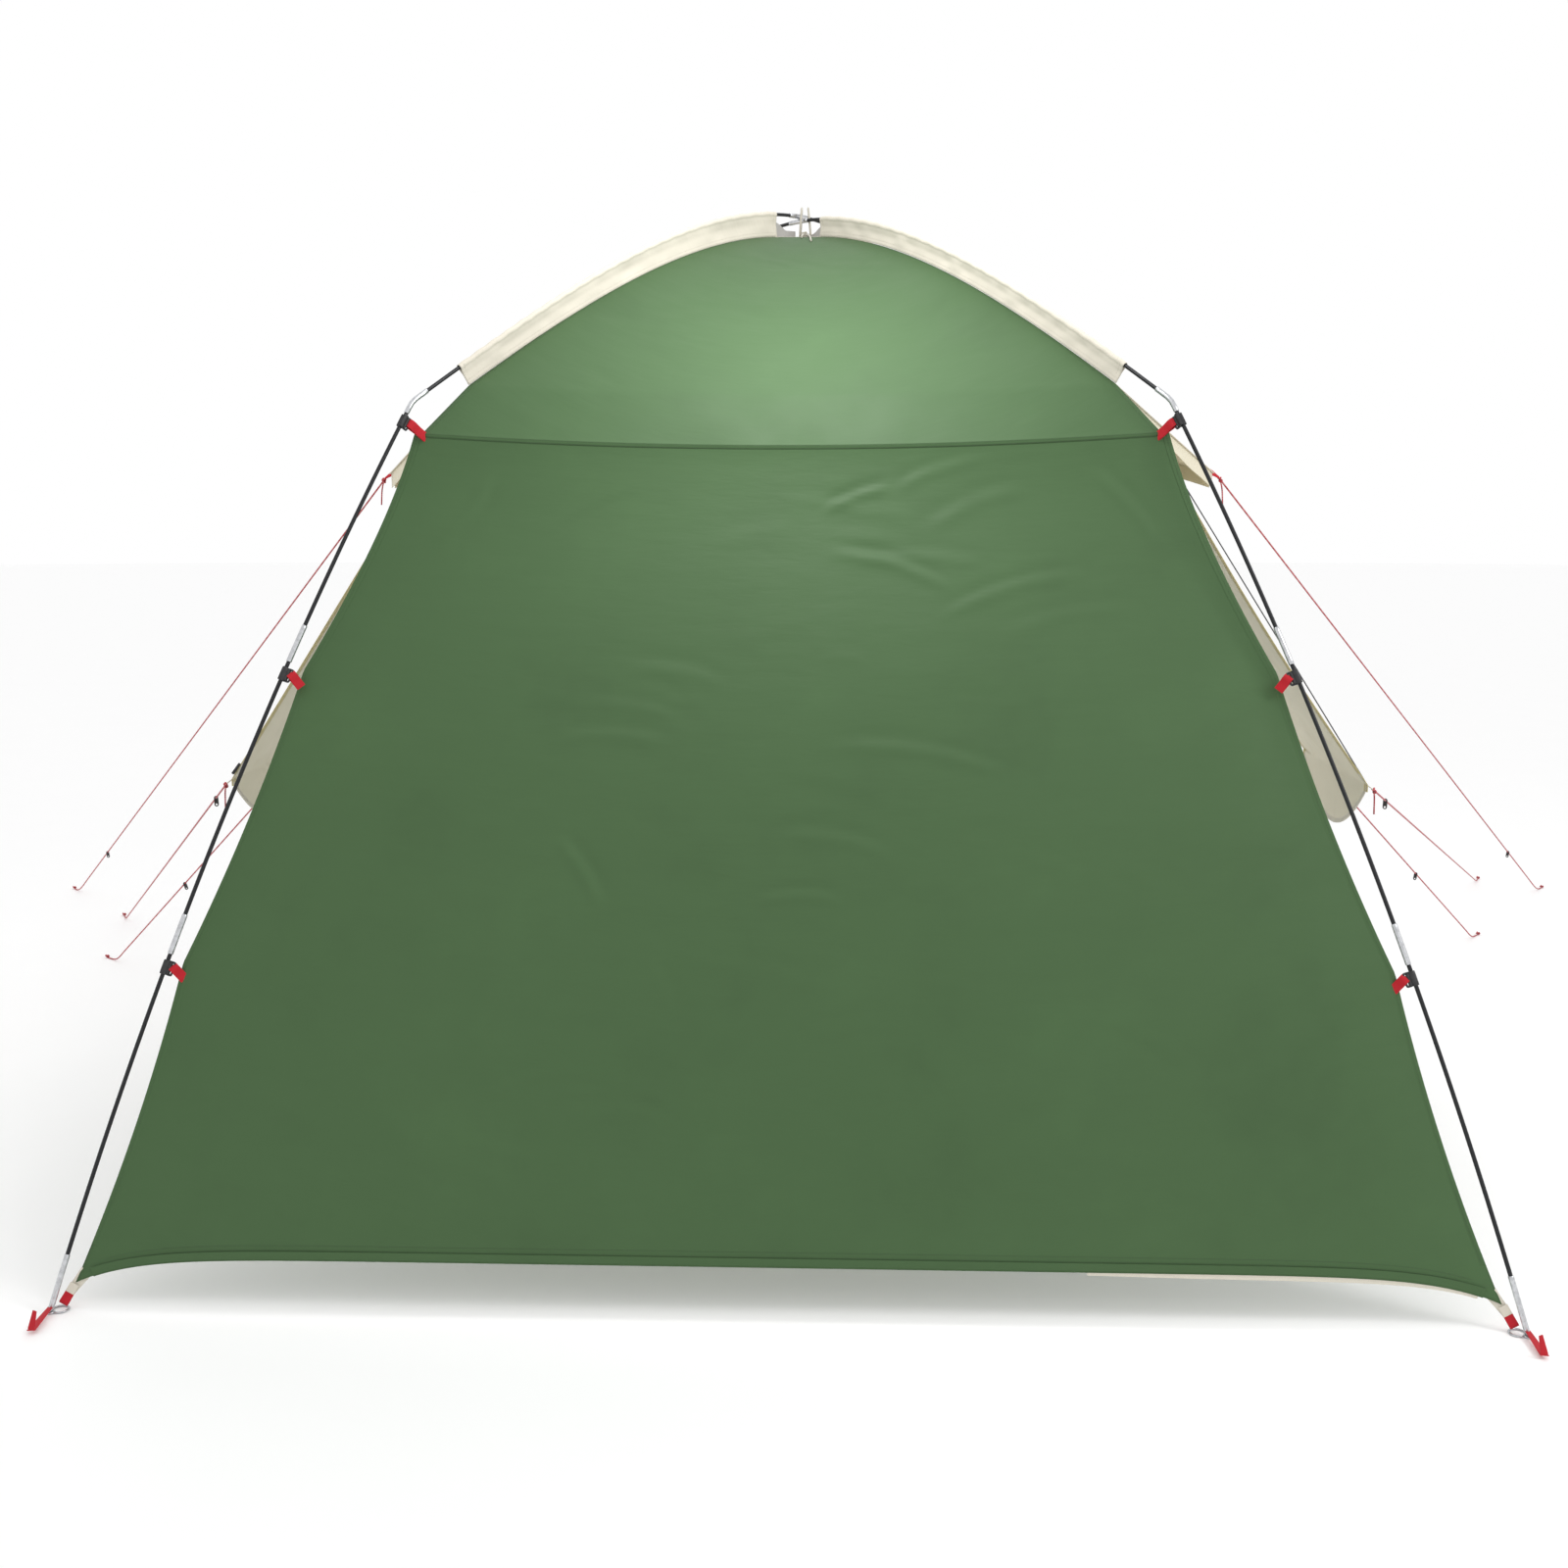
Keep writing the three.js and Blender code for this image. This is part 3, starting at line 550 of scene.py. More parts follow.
def rod_finish(name, base):
    """Pultruded fibreglass: streaks along the rod and small scuffs."""
    finish = Finish(name, Roughness=0.38, Specular_IOR_Level=0.32)
    where = finish.coordinates("Object")
    scuffs = finish.noise(where, 240.0, 4.0)
    finish.feed(
        "Base Color",
        finish.ramp(scuffs, [(0.35, shade(base, 0.8)), (0.6, base), (0.8, shade(base, 2.4))]),
    )
    streaks = finish.noise(finish.coordinates("Object", (1, 1, 0.05)), 700.0, 2.0)
    finish.feed("Roughness", finish.math("MULTIPLY_ADD", streaks, 0.2, 0.28))
    return finish.bump([(streaks, 0.00008, 0.35)])


def metal_finish(name, base, rough=0.26):
    """Drawn tube or wire: fine lines along the length, faint rub marks."""
    finish = Finish(name, Metallic=1.0, Roughness=rough)
    lines = finish.noise(finish.coordinates("Object", (1, 1, 0.06)), 900.0, 3.0)
    rubs = finish.noise(finish.coordinates("Object"), 130.0, 4.0)
    finish.feed("Base Color", finish.ramp(rubs, [(0.3, shade(base, 0.78)), (0.65, base)]))
    finish.feed("Roughness", finish.math("MULTIPLY_ADD", lines, 0.22, rough - 0.08))
    return finish.bump([(lines, 0.00005, 0.3)])


def plastic_finish(name, base):
    """Moulded nylon: fine grain with worn, slightly glossier spots."""
    finish = Finish(name, Roughness=0.5, Specular_IOR_Level=0.5)
    where = finish.coordinates("Object")
    grain = finish.noise(where, 1500.0, 2.0)
    worn = finish.noise(where, 160.0, 4.0)
    finish.feed("Base Color", finish.ramp(worn, [(0.35, base), (0.75, shade(base, 2.2))]))
    finish.feed("Roughness", finish.math("MULTIPLY_ADD", worn, -0.2, 0.6))
    return finish.bump([(grain, 0.00012, 0.5)])


def rope_finish(name, base):
    """Braid: crossing strands from UV; the colour follows the braid's height, black in its deepest hollows as
    painted shade and pale on its highest crests as painted highlight. Braid: crossing strands from UV; where
    they cross the wrong way a white or black fleck shows.
    """
    finish = Finish(name, Roughness=0.68, Sheen_Weight=0.2, Sheen_Roughness=0.5)
    parts = finish.node("SeparateXYZ", {0: finish.coordinates("UV")})
    around = finish.math("MULTIPLY", parts.outputs["X"], 4 * math.pi)
    lay = finish.math("MULTIPLY", parts.outputs["Y"], 2 * math.pi / ROPE_LAY)
    left = finish.math("SINE", finish.math("ADD", around, lay))
    right = finish.math("SINE", finish.math("SUBTRACT", around, lay))
    slow = finish.math("SINE", finish.math("MULTIPLY", parts.outputs["Y"], 2 * math.pi / 0.034))
    # height of the braid, used for the bump and also for the painted shade and highlight below
    braid_height = finish.math("MULTIPLY_ADD", finish.math("MULTIPLY", left, right), 0.5, 0.5)
    picked = finish.math("MULTIPLY_ADD", slow, 0.14, braid_height)
    # painted shade and highlight: black for the braid's hollows, pale for its crests
    dark, pale = (0.02, 0.012, 0.015), (0.55, 0.50, 0.50)
    stops = [(0.0, dark), (0.26, base), (0.93, pale)]
    finish.feed("Base Color", finish.ramp(picked, stops, constant=True))
    return finish.bump([(braid_height, 0.0004, 0.8)])


def cord_finish(name, base):
    """Twisted thread or soft string: slanting strands and fluff."""
    finish = Finish(name, Roughness=0.8, Sheen_Weight=0.3, Sheen_Roughness=0.5)
    where = finish.coordinates("Object")
    fluff = finish.noise(where, 1200.0, 3.0)
    finish.feed("Base Color", finish.ramp(fluff, [(0.3, shade(base, 0.78)), (0.7, base)]))
    return finish.bump([(fluff, 0.0002, 0.6)])


MATERIALS = {}


def finishes():
    """Every material, made once and kept by name."""
    if not MATERIALS:
        c = colours()
        green = tuple(c.green)
        MATERIALS.update(
            green=cloth_finish("green_cloth", green, 0.60, 0.04, 0.0010, 0.26),
            cream=cloth_finish("cream_cloth", tuple(c.cream), 0.72, 0.2, 0.001, 0.3),
            # the crown webs are cream cloth painted grey: painted shade for cloth lying in shadow under the
            # crossed poles
            web=cloth_finish("shade_painted_web", (0.36, 0.35, 0.335), 0.7, 0.1, 0.0006, 0.3),
            flap=cloth_finish("flap_cloth", tuple(c.flap), 0.7, 0.2, 0.0014, 0.3),
            # flap edge tape: cream tape painted straw yellow, painted light standing in for sunlight shining
            # through the cream cloth
            edge=webbing_finish("painted_backlight_tape", (0.60, 0.51, 0.25), 0.0012),
            tape=webbing_finish("cream_tape", shade(tuple(c.cream), 1.14), 0.0012),
            red=webbing_finish("red_webbing", tuple(c.red)),
            rod=rod_finish("black_rod", tuple(c.black)),
            plastic=plastic_finish("black_plastic", tuple(c.plastic)),
            metal=metal_finish("aluminium", tuple(c.metal)),
            steel=metal_finish("steel_wire", shade(tuple(c.metal), 0.85), 0.22),
            rope=rope_finish("braided_rope", tuple(c.rope)),
            string=cord_finish("cream_string", shade(tuple(c.cream), 0.80)),
            green_thread=cord_finish("green_thread", shade(green, 0.55)),
            cream_thread=cord_finish("cream_thread", shade(tuple(c.cream), 0.82)),
            elastic=cord_finish("elastic_cord", (0.62, 0.58, 0.52)),
            dark_cord=cord_finish("dark_cord", (0.045, 0.045, 0.05)),
        )
    return MATERIALS


# ---- the poles' centre lines -------------------------------------------------------------------


class Pole:
    """Centre line of a pole by length from one foot, in its upright diagonal plane."""

    def __init__(self, crown):
        foot = np.array([FOOT_SPAN / math.sqrt(2), FOOT_LIFT])
        elbow = np.array([ELBOW_SPAN / math.sqrt(2), ELBOW_HEIGHT])
        chord = elbow - foot
        outward = unit(np.array([chord[1], -chord[0]]))
        knee = (foot + elbow) / 2 + outward * 2 * LEG_BOW
        below = elbow + unit(knee - elbow) * ELBOW_BEND
        above = elbow + unit(np.array(ROOF_SHOULDER) - elbow) * ELBOW_BEND
        leg = bend([foot, knee, below], np.linspace(0, 1, CURVE_POINTS))
        corner = bend([below, elbow, above], np.linspace(0, 1, 40))
        roof_handles = [above, ROOF_SHOULDER, (ROOF_CROWN_HANDLE, crown), (0, crown)]
        roof = bend(roof_handles, np.linspace(0, 1, CURVE_POINTS))
        half = np.concatenate([leg, corner[1:], roof[1:]])
        whole = np.concatenate([half, half[-2::-1] * [-1, 1]])
        self.line, self.at = whole, run(whole)
        self.half = run(half)[-1]
        self.elbow_start = run(leg)[-1]
        self.elbow = self.elbow_start + run(corner)[-1] / 2
        self.elbow_end = self.elbow_start + run(corner)[-1]
        self.slope = unit(np.gradient(whole, self.at, axis=0))

    def spot(self, corner, s):
        """Points at lengths s from a corner's foot, and unit vectors along, out of and across the pole."""
        s = np.atleast_1d(np.asarray(s, float))
        flat = np.stack([np.interp(s, self.at, self.line[:, k]) for k in (0, 1)], -1)
        slope = unit(np.stack([np.interp(s, self.at, self.slope[:, k]) for k in (0, 1)], -1))
        sx, sy = np.array(CORNERS[corner]) / math.sqrt(2)

        def lift(v):
            return np.stack([sx * v[:, 0], sy * v[:, 0], v[:, 1]], -1)

        along, out = lift(slope), lift(np.stack([slope[:, 1], -slope[:, 0]], -1))
        return lift(flat), along, out, np.cross(out, along)


POLES = {"upper": Pole(CROWN_HEIGHT), "lower": Pole(CROWN_HEIGHT - POLE_STACK)}


def pole_of(corner):
    """The pole that stands on a corner."""
    return POLES["upper" if corner in UPPER_POLE else "lower"]


LOWER = POLES["lower"]
CLIP_LENGTHS = {
    "lower": FIRST_FERRULE - CLIP_BELOW_FERRULE,
    "middle": SECOND_FERRULE - CLIP_BELOW_FERRULE,
    "upper": LOWER.elbow - CLIP_BELOW_ELBOW,
}

# ---- the cloth's surfaces ----------------------------------------------------------------------


def ridge(v):
    """Half-width and height of the roof seam at v, from the crown at 0 to the eave corner at 1."""
    s = lerp(LOWER.half - SLEEVE_END, LOWER.elbow + SLEEVE_START, np.minimum(v / EAVE_SHARE, 1))
    point, _, out, _ = LOWER.spot("near_right", s.ravel())
    point = point - out * (SLEEVE_DEPTH + 0.001)
    down = np.maximum(0, (v.ravel() - EAVE_SHARE) / 0.1)
    half = lerp(point[:, 0], EAVE_CORNER, down)
    height = lerp(point[:, 2], EAVE_HEIGHT, down)
    return half.reshape(v.shape), height.reshape(v.shape)


def net(rows, columns):
    """u from -1 to 1 across and v from 0 to 1 down, as two grids."""
    u, v = np.meshgrid(np.linspace(-1, 1, columns), np.linspace(0, 1, rows))
    return u, v


def leg_at(level):
    """X of a leg's centre line at a height."""
    leg = LOWER.line[:CURVE_POINTS]
    return np.interp(level, leg[:, 1], leg[:, 0]) / math.sqrt(2)


def plain_gore(u, v, side, gap=0.0006):
    """Near or far gore: level across, width from the ridge, drawn in and sagged by 16 mm in the middle."""
    half, height = ridge(v)
    middle = 1 - u * u
    taut = middle * np.sin(np.pi * v)
    return np.stack(
        [
            -side * u * (half - gap),
            side * (half - ROOF_SAG * taut),
            height - ROOF_SAG * taut - EAVE_SAG * middle * v**4,
        ],
        -1,
    )


def visor_gore(u, v, side, gap=0.0016):
    """Left or right gore, which runs on past 0.66 of its length into a visor that narrows to its tip."""
    reach, tip_height = VISOR_TIP
    on_roof = np.minimum(v / VISOR_START, 1)
    half, height = ridge(on_roof * EAVE_SHARE)
    taut = (1 - u * u) * np.sin(np.pi * on_roof)
    brim = np.maximum(0, (v - VISOR_START) / 0.34)
    width = lerp(half - gap, 0.014, brim)
    return np.stack(
        [
            side * lerp(half - ROOF_SAG * taut, reach, brim),
            side * u * width,
            lerp(height - ROOF_SAG * taut, tip_height, brim),
        ],
        -1,
    )


HOLDS = [
    HEM_CORNER,
    *(LOWER.spot("near_right", CLIP_LENGTHS[k])[0][0, 2] for k in ("lower", "middle")),
    EAVE_HEIGHT - EAVE_OVERLAP,
]


def hollow(level):
    """How far a wall edge draws in: 4t(1-t) of 18 mm between two clips."""
    k = np.clip(np.searchsorted(HOLDS, level), 1, 3)
    low, high = np.array(HOLDS)[k - 1], np.array(HOLDS)[k]
    t = (level - low) / (high - low)
    return WALL_HOLLOW * np.maximum(0, 4 * t * (1 - t))


def wall(u, v, raise_top=0.0):
    """Wall between the near legs: hollowed edges, a hem raised in the middle, leaning with the legs."""
    middle = 1 - u * u
    level = lerp(EAVE_HEIGHT - EAVE_OVERLAP + raise_top, HEM_CORNER, v)
    rise = (HEM_HEIGHT - HEM_CORNER) * (1 - u**12) * v
    leg = leg_at(level)
    back = leg - WALL_SET_BACK
    y = -back - 0.014 * middle * np.sin(np.pi * v) + (1 - v) ** 6 * (back - EAVE_CORNER)
    z = level + rise - EAVE_SAG * middle * (1 - v) ** 4
    return np.stack([u * (leg - WALL_GAP - hollow(level)), y, z], -1)


def flap(u, v, side):
    """Flap under a visor: straight to its two guyed corners, sagging 20 mm, then a drooping round edge.

    The right flap's near edge also hangs a little slack under its edge cord: slack times sine.
    """
    near, far = np.array(FLAP_NEAR), np.array(FLAP_FAR)
    edge = lerp(near, far, ((1 + u) / 2)[..., None])
    top = np.stack(
        [np.full(u.shape, FLAP_TOP[0]), u * FLAP_HALF_WIDTH, np.full(u.shape, FLAP_TOP[1])], -1
    )
    middle = 1 - u * u
    main = np.minimum(v / FLAP_TAUT, 1)
    point = lerp(top, edge, main[..., None])
    hang = np.maximum(0, (v - FLAP_TAUT) / 0.2)
    droop = (FLAP_SELVAGE + (FLAP_VALANCE - FLAP_SELVAGE) * middle) * hang
    point[..., 2] -= 0.020 * middle * np.sin(np.pi * main) + droop
    if side > 0:
        slack = FLAP_SLACK * ((1 - u) / 2) ** 2 * np.sin(np.pi * main)
        point -= slack[..., None] * np.array([0.8, 0, 0.6])
    return point * [side, 1, 1]


def folds(a, b, creases):
    """Soft creases on two flat coordinates: for each segment, a ridge with a valley beside it, fading out."""
    height = np.zeros(a.shape)
    for a0, b0, a1, b1, depth, width in creases:
        long = math.hypot(a1 - a0, b1 - b0)
        ca, cb = (a1 - a0) / long, (b1 - b0) / long
        t = (a - a0) * ca + (b - b0) * cb
        bow = 0.06 * long * np.sin(np.pi * np.clip(t / long, 0, 1))
        d = ((b - b0) * ca - (a - a0) * cb - bow) / width
        fade = smooth(t / (0.3 * long)) * smooth((long - t) / (0.3 * long))
        height += depth * fade * (np.exp(-d * d) - 0.7 * np.exp(-((d - 1.7) ** 2)))
    return height


def small_creases(seed, count, box, long, depth):
    """Seeded random crease segments in a box (a low, a high, b low, b high)."""
    dice = np.random.default_rng(seed)
    a = dice.uniform(box[0], box[1], count)
    b = dice.uniform(box[2], box[3], count)
    turn = dice.normal(0.1, 0.5, count)
    size = dice.uniform(*long, count)
    deep = dice.uniform(*depth, count) * dice.choice([-1, 1], count)
    width = dice.uniform(0.008, 0.018, count)
    return np.stack([a, b, a + size * np.cos(turn), b + size * np.sin(turn), deep, width], -1)


def creased(points, u, v, axis, creases):
    """Points moved along their normals by creases that fade out at the edges, and those normals."""
    edge = smooth(np.minimum(1 - np.abs(u), np.minimum(v, 1 - v)) / 0.08)
    outward = normals_of(points)
    lift = folds(points[..., axis], v, creases)
    return points + outward * (lift * edge)[..., None], outward


# Creases of the wall: start and end in X and Z, depth and width.
WALL_CREASES = [
    (0.06, 1.46, 0.22, 1.52, 0.0022, 0.010),
    (0.20, 1.50, 0.42, 1.59, 0.0016, 0.012),
    (0.26, 1.53, 0.58, 1.60, 0.0014, 0.011),
    (0.06, 1.39, 0.34, 1.31, 0.0018, 0.012),
    (0.10, 1.36, 0.42, 1.36, 0.0010, 0.014),
    (0.28, 1.25, 0.62, 1.35, 0.0018, 0.012),
    (0.26, 1.42, 0.50, 1.52, 0.0012, 0.016),
    (0.40, 1.22, 0.72, 1.28, 0.0010, 0.014),
    (0.05, 1.02, 0.46, 0.96, 0.0012, 0.013),
    (-0.06, 0.74, 0.12, 0.745, 0.0016, 0.010),
    (-0.44, 0.86, -0.34, 0.72, 0.0016, 0.012),
    (-0.02, 0.86, 0.22, 0.82, 0.0010, 0.012),
    (-0.34, 1.16, -0.10, 1.13, 0.0010, 0.014),
    (-0.42, 1.10, -0.18, 1.06, 0.0008, 0.012),
    (-0.46, 1.03, -0.20, 1.02, 0.0010, 0.012),
    (0.86, 0.30, 1.18, 0.55, 0.0012, 0.022),
    (0.30, 0.18, 0.56, 0.38, 0.0010, 0.024),
    (-1.10, 0.20, -0.95, 0.42, 0.0014, 0.020),
    (-0.98, 0.60, -0.80, 0.86, 0.0012, 0.024),
    (-0.60, 1.55, -0.72, 1.40, 0.0014, 0.014),
    (0.60, 1.56, 0.74, 1.40, 0.0014, 0.014),
]

# ---- the operators -----------------------------------------------------------------------------


class SHELTER_OT_stage(bpy.types.Operator):
    """Camera, pale floor and soft studio lights"""

    bl_idname = "shelter.stage"
    bl_label = "Stage"

    def execute(self, _context):
        camera = bpy.data.cameras.new("camera")
        camera.lens, camera.sensor_width = 38.82, 36.0
        camera.clip_end = 100
        eye = bpy.data.objects.new("camera", camera)
        eye.location = (0.1118, -4.25, 1.45)
        eye.rotation_euler = (math.radians(90 - 8.805), 0, math.radians(1.992))
        bpy.context.scene.collection.objects.link(eye)
        bpy.context.scene.camera = eye
        bpy.context.scene.view_settings.view_transform = "Standard"
        sides = 96
        turn = turns(sides)
        rim = np.stack([np.cos(turn), np.sin(turn), np.zeros(sides)], -1)
        rings = rim[None] * np.array([60.0, 20, 8, 3, 0.5])[:, None, None]
        skin = Skin().grid(rings, around=True, ends=False)
        skin.add(np.arange(-sides, 0)[None], np.zeros((sides, 2)), 0)
        floor_finish = Finish("floor", Roughness=0.9, Specular_IOR_Level=0.1)
        pale = tuple(colours().floor)
        dust = floor_finish.noise(floor_finish.coordinates("Object"), 3.0)
        floor_finish.feed("Base Color", floor_finish.mix(dust, shade(pale, 0.985), pale))
        floor = skin.make("floor", [floor_finish.material])
        world = bpy.data.worlds.new("studio")
        world.use_nodes = True
        world.node_tree.nodes["Background"].inputs["Color"].default_value = (1, 1, 1, 1)
        world.node_tree.nodes["Background"].inputs["Strength"].default_value = 1.0
        bpy.context.scene.world = world
        lamps = [
            ("crown", (0.05, -1.05, 2.62), (0.03, -0.66, 1.84), 0.3, 5.2, 100),
            ("overhead", (0.30, 0.60, 4.6), (0.05, -0.3, 1.8), 1.8, 16, 180),
            ("right", (3.4, -2.6, 3.2), (0.2, -1, 1.4), 1.2, 44, 180),
        ]
        for name, spot, aim, size, power, spread in lamps:
            light = bpy.data.lights.new(name, "AREA")
            light.energy, light.size = power, size
            light.spread = math.radians(spread)
            lamp = bpy.data.objects.new(name, light)
            lamp.location = spot
            lamp.visible_camera = False
            way = np.array(spot) - np.array(aim)
            flat = math.hypot(way[0], way[1])
            lamp.rotation_euler = (math.atan2(flat, way[2]), 0, math.atan2(way[0], -way[1]))
            bpy.context.scene.collection.objects.link(lamp)
        return {"FINISHED"}


def rope_route(name):
    """Points of a rope: straight from its fastening to the ground, a soft bend, and a short rest on it."""
    tie, ground = ROPES[name]
    start, end = np.array(tie), np.array([*ground, ROPE_GROUND])
    rest = np.append(unit((end - start)[:2]), 0) * ROPE_REST
    knee = lerp(start, end, ROPE_KNEE)
    straight = lerp(start, end, np.linspace(0, ROPE_KNEE, 34)[:, None])
    soft = bend([knee, end, end + rest * 0.6], np.array([0.33, 0.67, 1.0]))
    return np.concatenate([straight, soft, (end + rest)[None]])


def trefoil(centre, size, turn, lean):
    """Knot line: x = sin t + 2 sin 2t, y = cos t - 2 cos 2t, z = -1.2 sin 3t, turned about Z and leaned."""
    t = np.linspace(0, 2 * np.pi, 72, endpoint=False)
    x, y, z = np.sin(t) + 2 * np.sin(2 * t), np.cos(t) - 2 * np.cos(2 * t), -1.2 * np.sin(3 * t)
    y, z = y * math.cos(lean) - z * math.sin(lean), y * math.sin(lean) + z * math.cos(lean)
    x, y = x * math.cos(turn) - y * math.sin(turn), x * math.sin(turn) + y * math.cos(turn)
    toward = np.array([math.sin(lean) * math.sin(turn), -math.sin(lean) * math.cos(turn), math.cos(lean)])
    return np.array(centre) + np.stack([x, y, z], -1) * size / 3, toward


class SHELTER_OT_ropes(bpy.types.Operator):
    """Six braided guy ropes with their knots and tails"""

    bl_idname = "shelter.ropes"
    bl_label = "Guy ropes"

    def execute(self, _context):
        thick = sizes().rope
        for name in ROPES:
            route = rope_route(name)
            path = through(route, 0.004)
            swell = thick / 2 * (1 + 0.05 * np.cos(run(path) * 2 * np.pi / ROPE_LAY))
            rope = tube(Skin(), path, (0, 0, 1), swell, 10).make(f"{name}_guy", [finishes()["rope"]])
            place(rope, nodes=[f"{name}_rope"])
            way = unit(route[1] - route[0])
            knots = Skin()
            level = math.atan2(way[1], way[0])
            for centre, lean in ((route[0] + way * 0.018, 1.1), (route[-1] + [0, 0, 0.0045], 0.25)):
                line, toward = trefoil(centre, 0.0062, level, lean)
                tube(knots, line, toward, thick * 0.46, 8, ring=True)
            knot = knots.make(f"{name}_knots", [finishes()["rope"]])
            place(knot)
            tail_end = route[0] + way * 0.03 + [0.01 * way[0], 0.01 * way[1], -0.055]
            droop = [route[0] + way * 0.018, route[0] + way * 0.03 - [0, 0, 0.012], tail_end]
            tail = tube(Skin(), through(droop, 0.002), (way[1], -way[0], 0), thick * 0.42, 8)
            tail = place(tail.make(f"{name}_tail", [finishes()["rope"]]))
        return {"FINISHED"}


class SHELTER_OT_poles(bpy.types.Operator):
    """Rods, ferrules, feet and elbows of both poles"""

    bl_idname = "shelter.poles"
    bl_label = "Poles"

    def execute(self, _context):
        rod, metal = finishes()["rod"], finishes()["metal"]
        rim = BAR_RIM
        for corner in CORNERS:
            pole = pole_of(corner)

            def bar(name, bands, nodes):
                """Bands of (start, end, radius, paint) along the pole with eased rims, one round piece."""
                s, radius, paint = [], [], []
                for start, end, r, tint in bands:
                    inner = np.arange(start + rim, end - rim, 0.012)
                    s += [start, *inner, end - rim, end]
                    radius += [r - rim, *([r] * (len(inner) + 1)), r - rim]
                    paint += [tint] * (len(inner) + 3)
                point, _, out, _ = pole.spot(corner, s)
                skin = tube(Skin(), point, out, np.array(radius), 20, paint=np.array(paint))
                place(skin.make(name, [rod, metal], 50), nodes=nodes)

            lower = [
                (0, FOOT_LENGTH, FOOT_TUBE, 1),
                (FOOT_LENGTH, FIRST_FERRULE, ROD, 0),
                (FIRST_FERRULE, MIDDLE_START, FERRULE, 1),
            ]
            middle = [
                (MIDDLE_START - FERRULE_INSERT, SECOND_FERRULE, ROD, 0),
                (SECOND_FERRULE, UPPER_START, FERRULE, 1),
            ]
            upper = [(UPPER_START - FERRULE_INSERT, pole.elbow_start, ROD, 0)]
            elbow = [(pole.elbow - ELBOW_LOWER_ARM, pole.elbow + ELBOW_UPPER_ARM, FERRULE, 1)]
            roof = [(pole.elbow_end, pole.half - 0.0005, ROD, 0)]
            for section, bands in (("lower", lower), ("middle", middle), ("upper", upper)):
                bar(f"{corner}_{section}_pole", bands, [f"{corner}_{section}_section"])
            bar(f"{corner}_bent_elbow", elbow, [f"{corner}_elbow"])
            bar(f"{corner}_roof_pole", roof, [f"{corner}_roof_rod"])
        for name, corner in (("upper", "near_left"), ("lower", "near_right")):
            pole = POLES[name]
            s = np.linspace(pole.half - CROWN_REACH, pole.half + CROWN_REACH, 14)
            s = np.array([s[0], s[0] + rim, *s[1:-1], s[-1] - rim, s[-1]])
            radius = np.full(len(s), FERRULE)
            radius[[0, -1]] -= rim
            point, _, out, _ = pole.spot(corner, s)
            skin = tube(Skin(), point, out, radius, 20)
            ferrule = skin.make(f"{name}_crown_tube", [metal], 50)
            place(ferrule, nodes=[f"{name}_pole_crown_ferrule"])
            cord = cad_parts[f"{name}_pole_shock_cord"]
            for held in cord.material_slots:
                held.material = finishes()["elastic"]
        return {"FINISHED"}


class SHELTER_OT_sleeves(bpy.types.Operator):
    """Four cream sleeves round the roof rods"""

    bl_idname = "shelter.sleeves"
    bl_label = "Pole sleeves"

    def execute(self, _context):
        seams = Skin()
        for index, corner in enumerate(CORNERS):
            pole = pole_of(corner)
            deeper = POLE_STACK if corner in UPPER_POLE else 0.0
            rows, columns = 250, 44
            s = np.linspace(pole.elbow + SLEEVE_START, pole.half - SLEEVE_END, rows)
            point, _, out, side = pole.spot(corner, s)
            share = (s - pole.elbow) / (pole.half - pole.elbow)
            depth = SLEEVE_DEPTH + deeper * smooth(share)
            radius = SLEEVE_BORE
            q = np.linspace(-1, 1, columns)[None]
            turn = np.clip(q / SLEEVE_ROUND, -1, 1) * SLEEVE_WRAP
            down = np.clip((np.abs(q) - SLEEVE_ROUND) / 0.58, 0, 1)
            in_tunnel = np.abs(q) < SLEEVE_ROUND
            neck = -math.cos(SLEEVE_WRAP) * radius
            y = np.where(in_tunnel, np.cos(turn) * radius, -lerp(neck, depth[:, None], down))
            x = np.where(
                in_tunnel,
                np.sin(turn) * radius,
                np.sign(q) * lerp(math.sin(SLEEVE_WRAP) * radius, 0.0008, smooth(down * 2.4)),
            )
            dice = np.random.default_rng(31 + index)
            wave = sum(
                dice.uniform(0.3, 1) * np.sin(s * 2 * np.pi / span + dice.uniform(0, 6))
                for span in (0.31, 0.17, 0.093, 0.061)
            )
            pucker = 0.0011 * wave[:, None] * np.sin(np.pi * np.clip(-y / depth[:, None], 0, 1)) ** 2
            x = x + pucker
            y = y + np.where(np.abs(q) < 0.5, 0.0006 * np.sin(s * 2 * np.pi / 0.043)[:, None], 0)
            points = point[:, None] + x[..., None] * side[:, None] + y[..., None] * out[:, None]
            sleeve = Skin().grid(points, cloth_uv(points)).make(
                f"{corner}_pole_sleeve", [finishes()["cream"]], 70
            )
            thicken(sleeve, 0.0006)
            place(sleeve, nodes=[f"{corner}_sleeve"])
            for row in (0.010, 0.004):
                line = point - out * (depth - row)[:, None]
                for face in (1, -1):
                    stitches(seams, line + side * 0.0013 * face, side * face)
            for end, inset in ((0, 0.010), (-1, -0.010)):
                middle, _, up, across = pole.spot(corner, [s[end] + inset])
                ring = middle + x[end][:, None] * 1.12 * across + y[end][:, None] * up
                stitches(seams, ring[4:-4], np.sign(x[end][4:-4, None]) * across)
        place(seams.make("sleeve_stitching", [finishes()["cream_thread"]]))
        return {"FINISHED"}


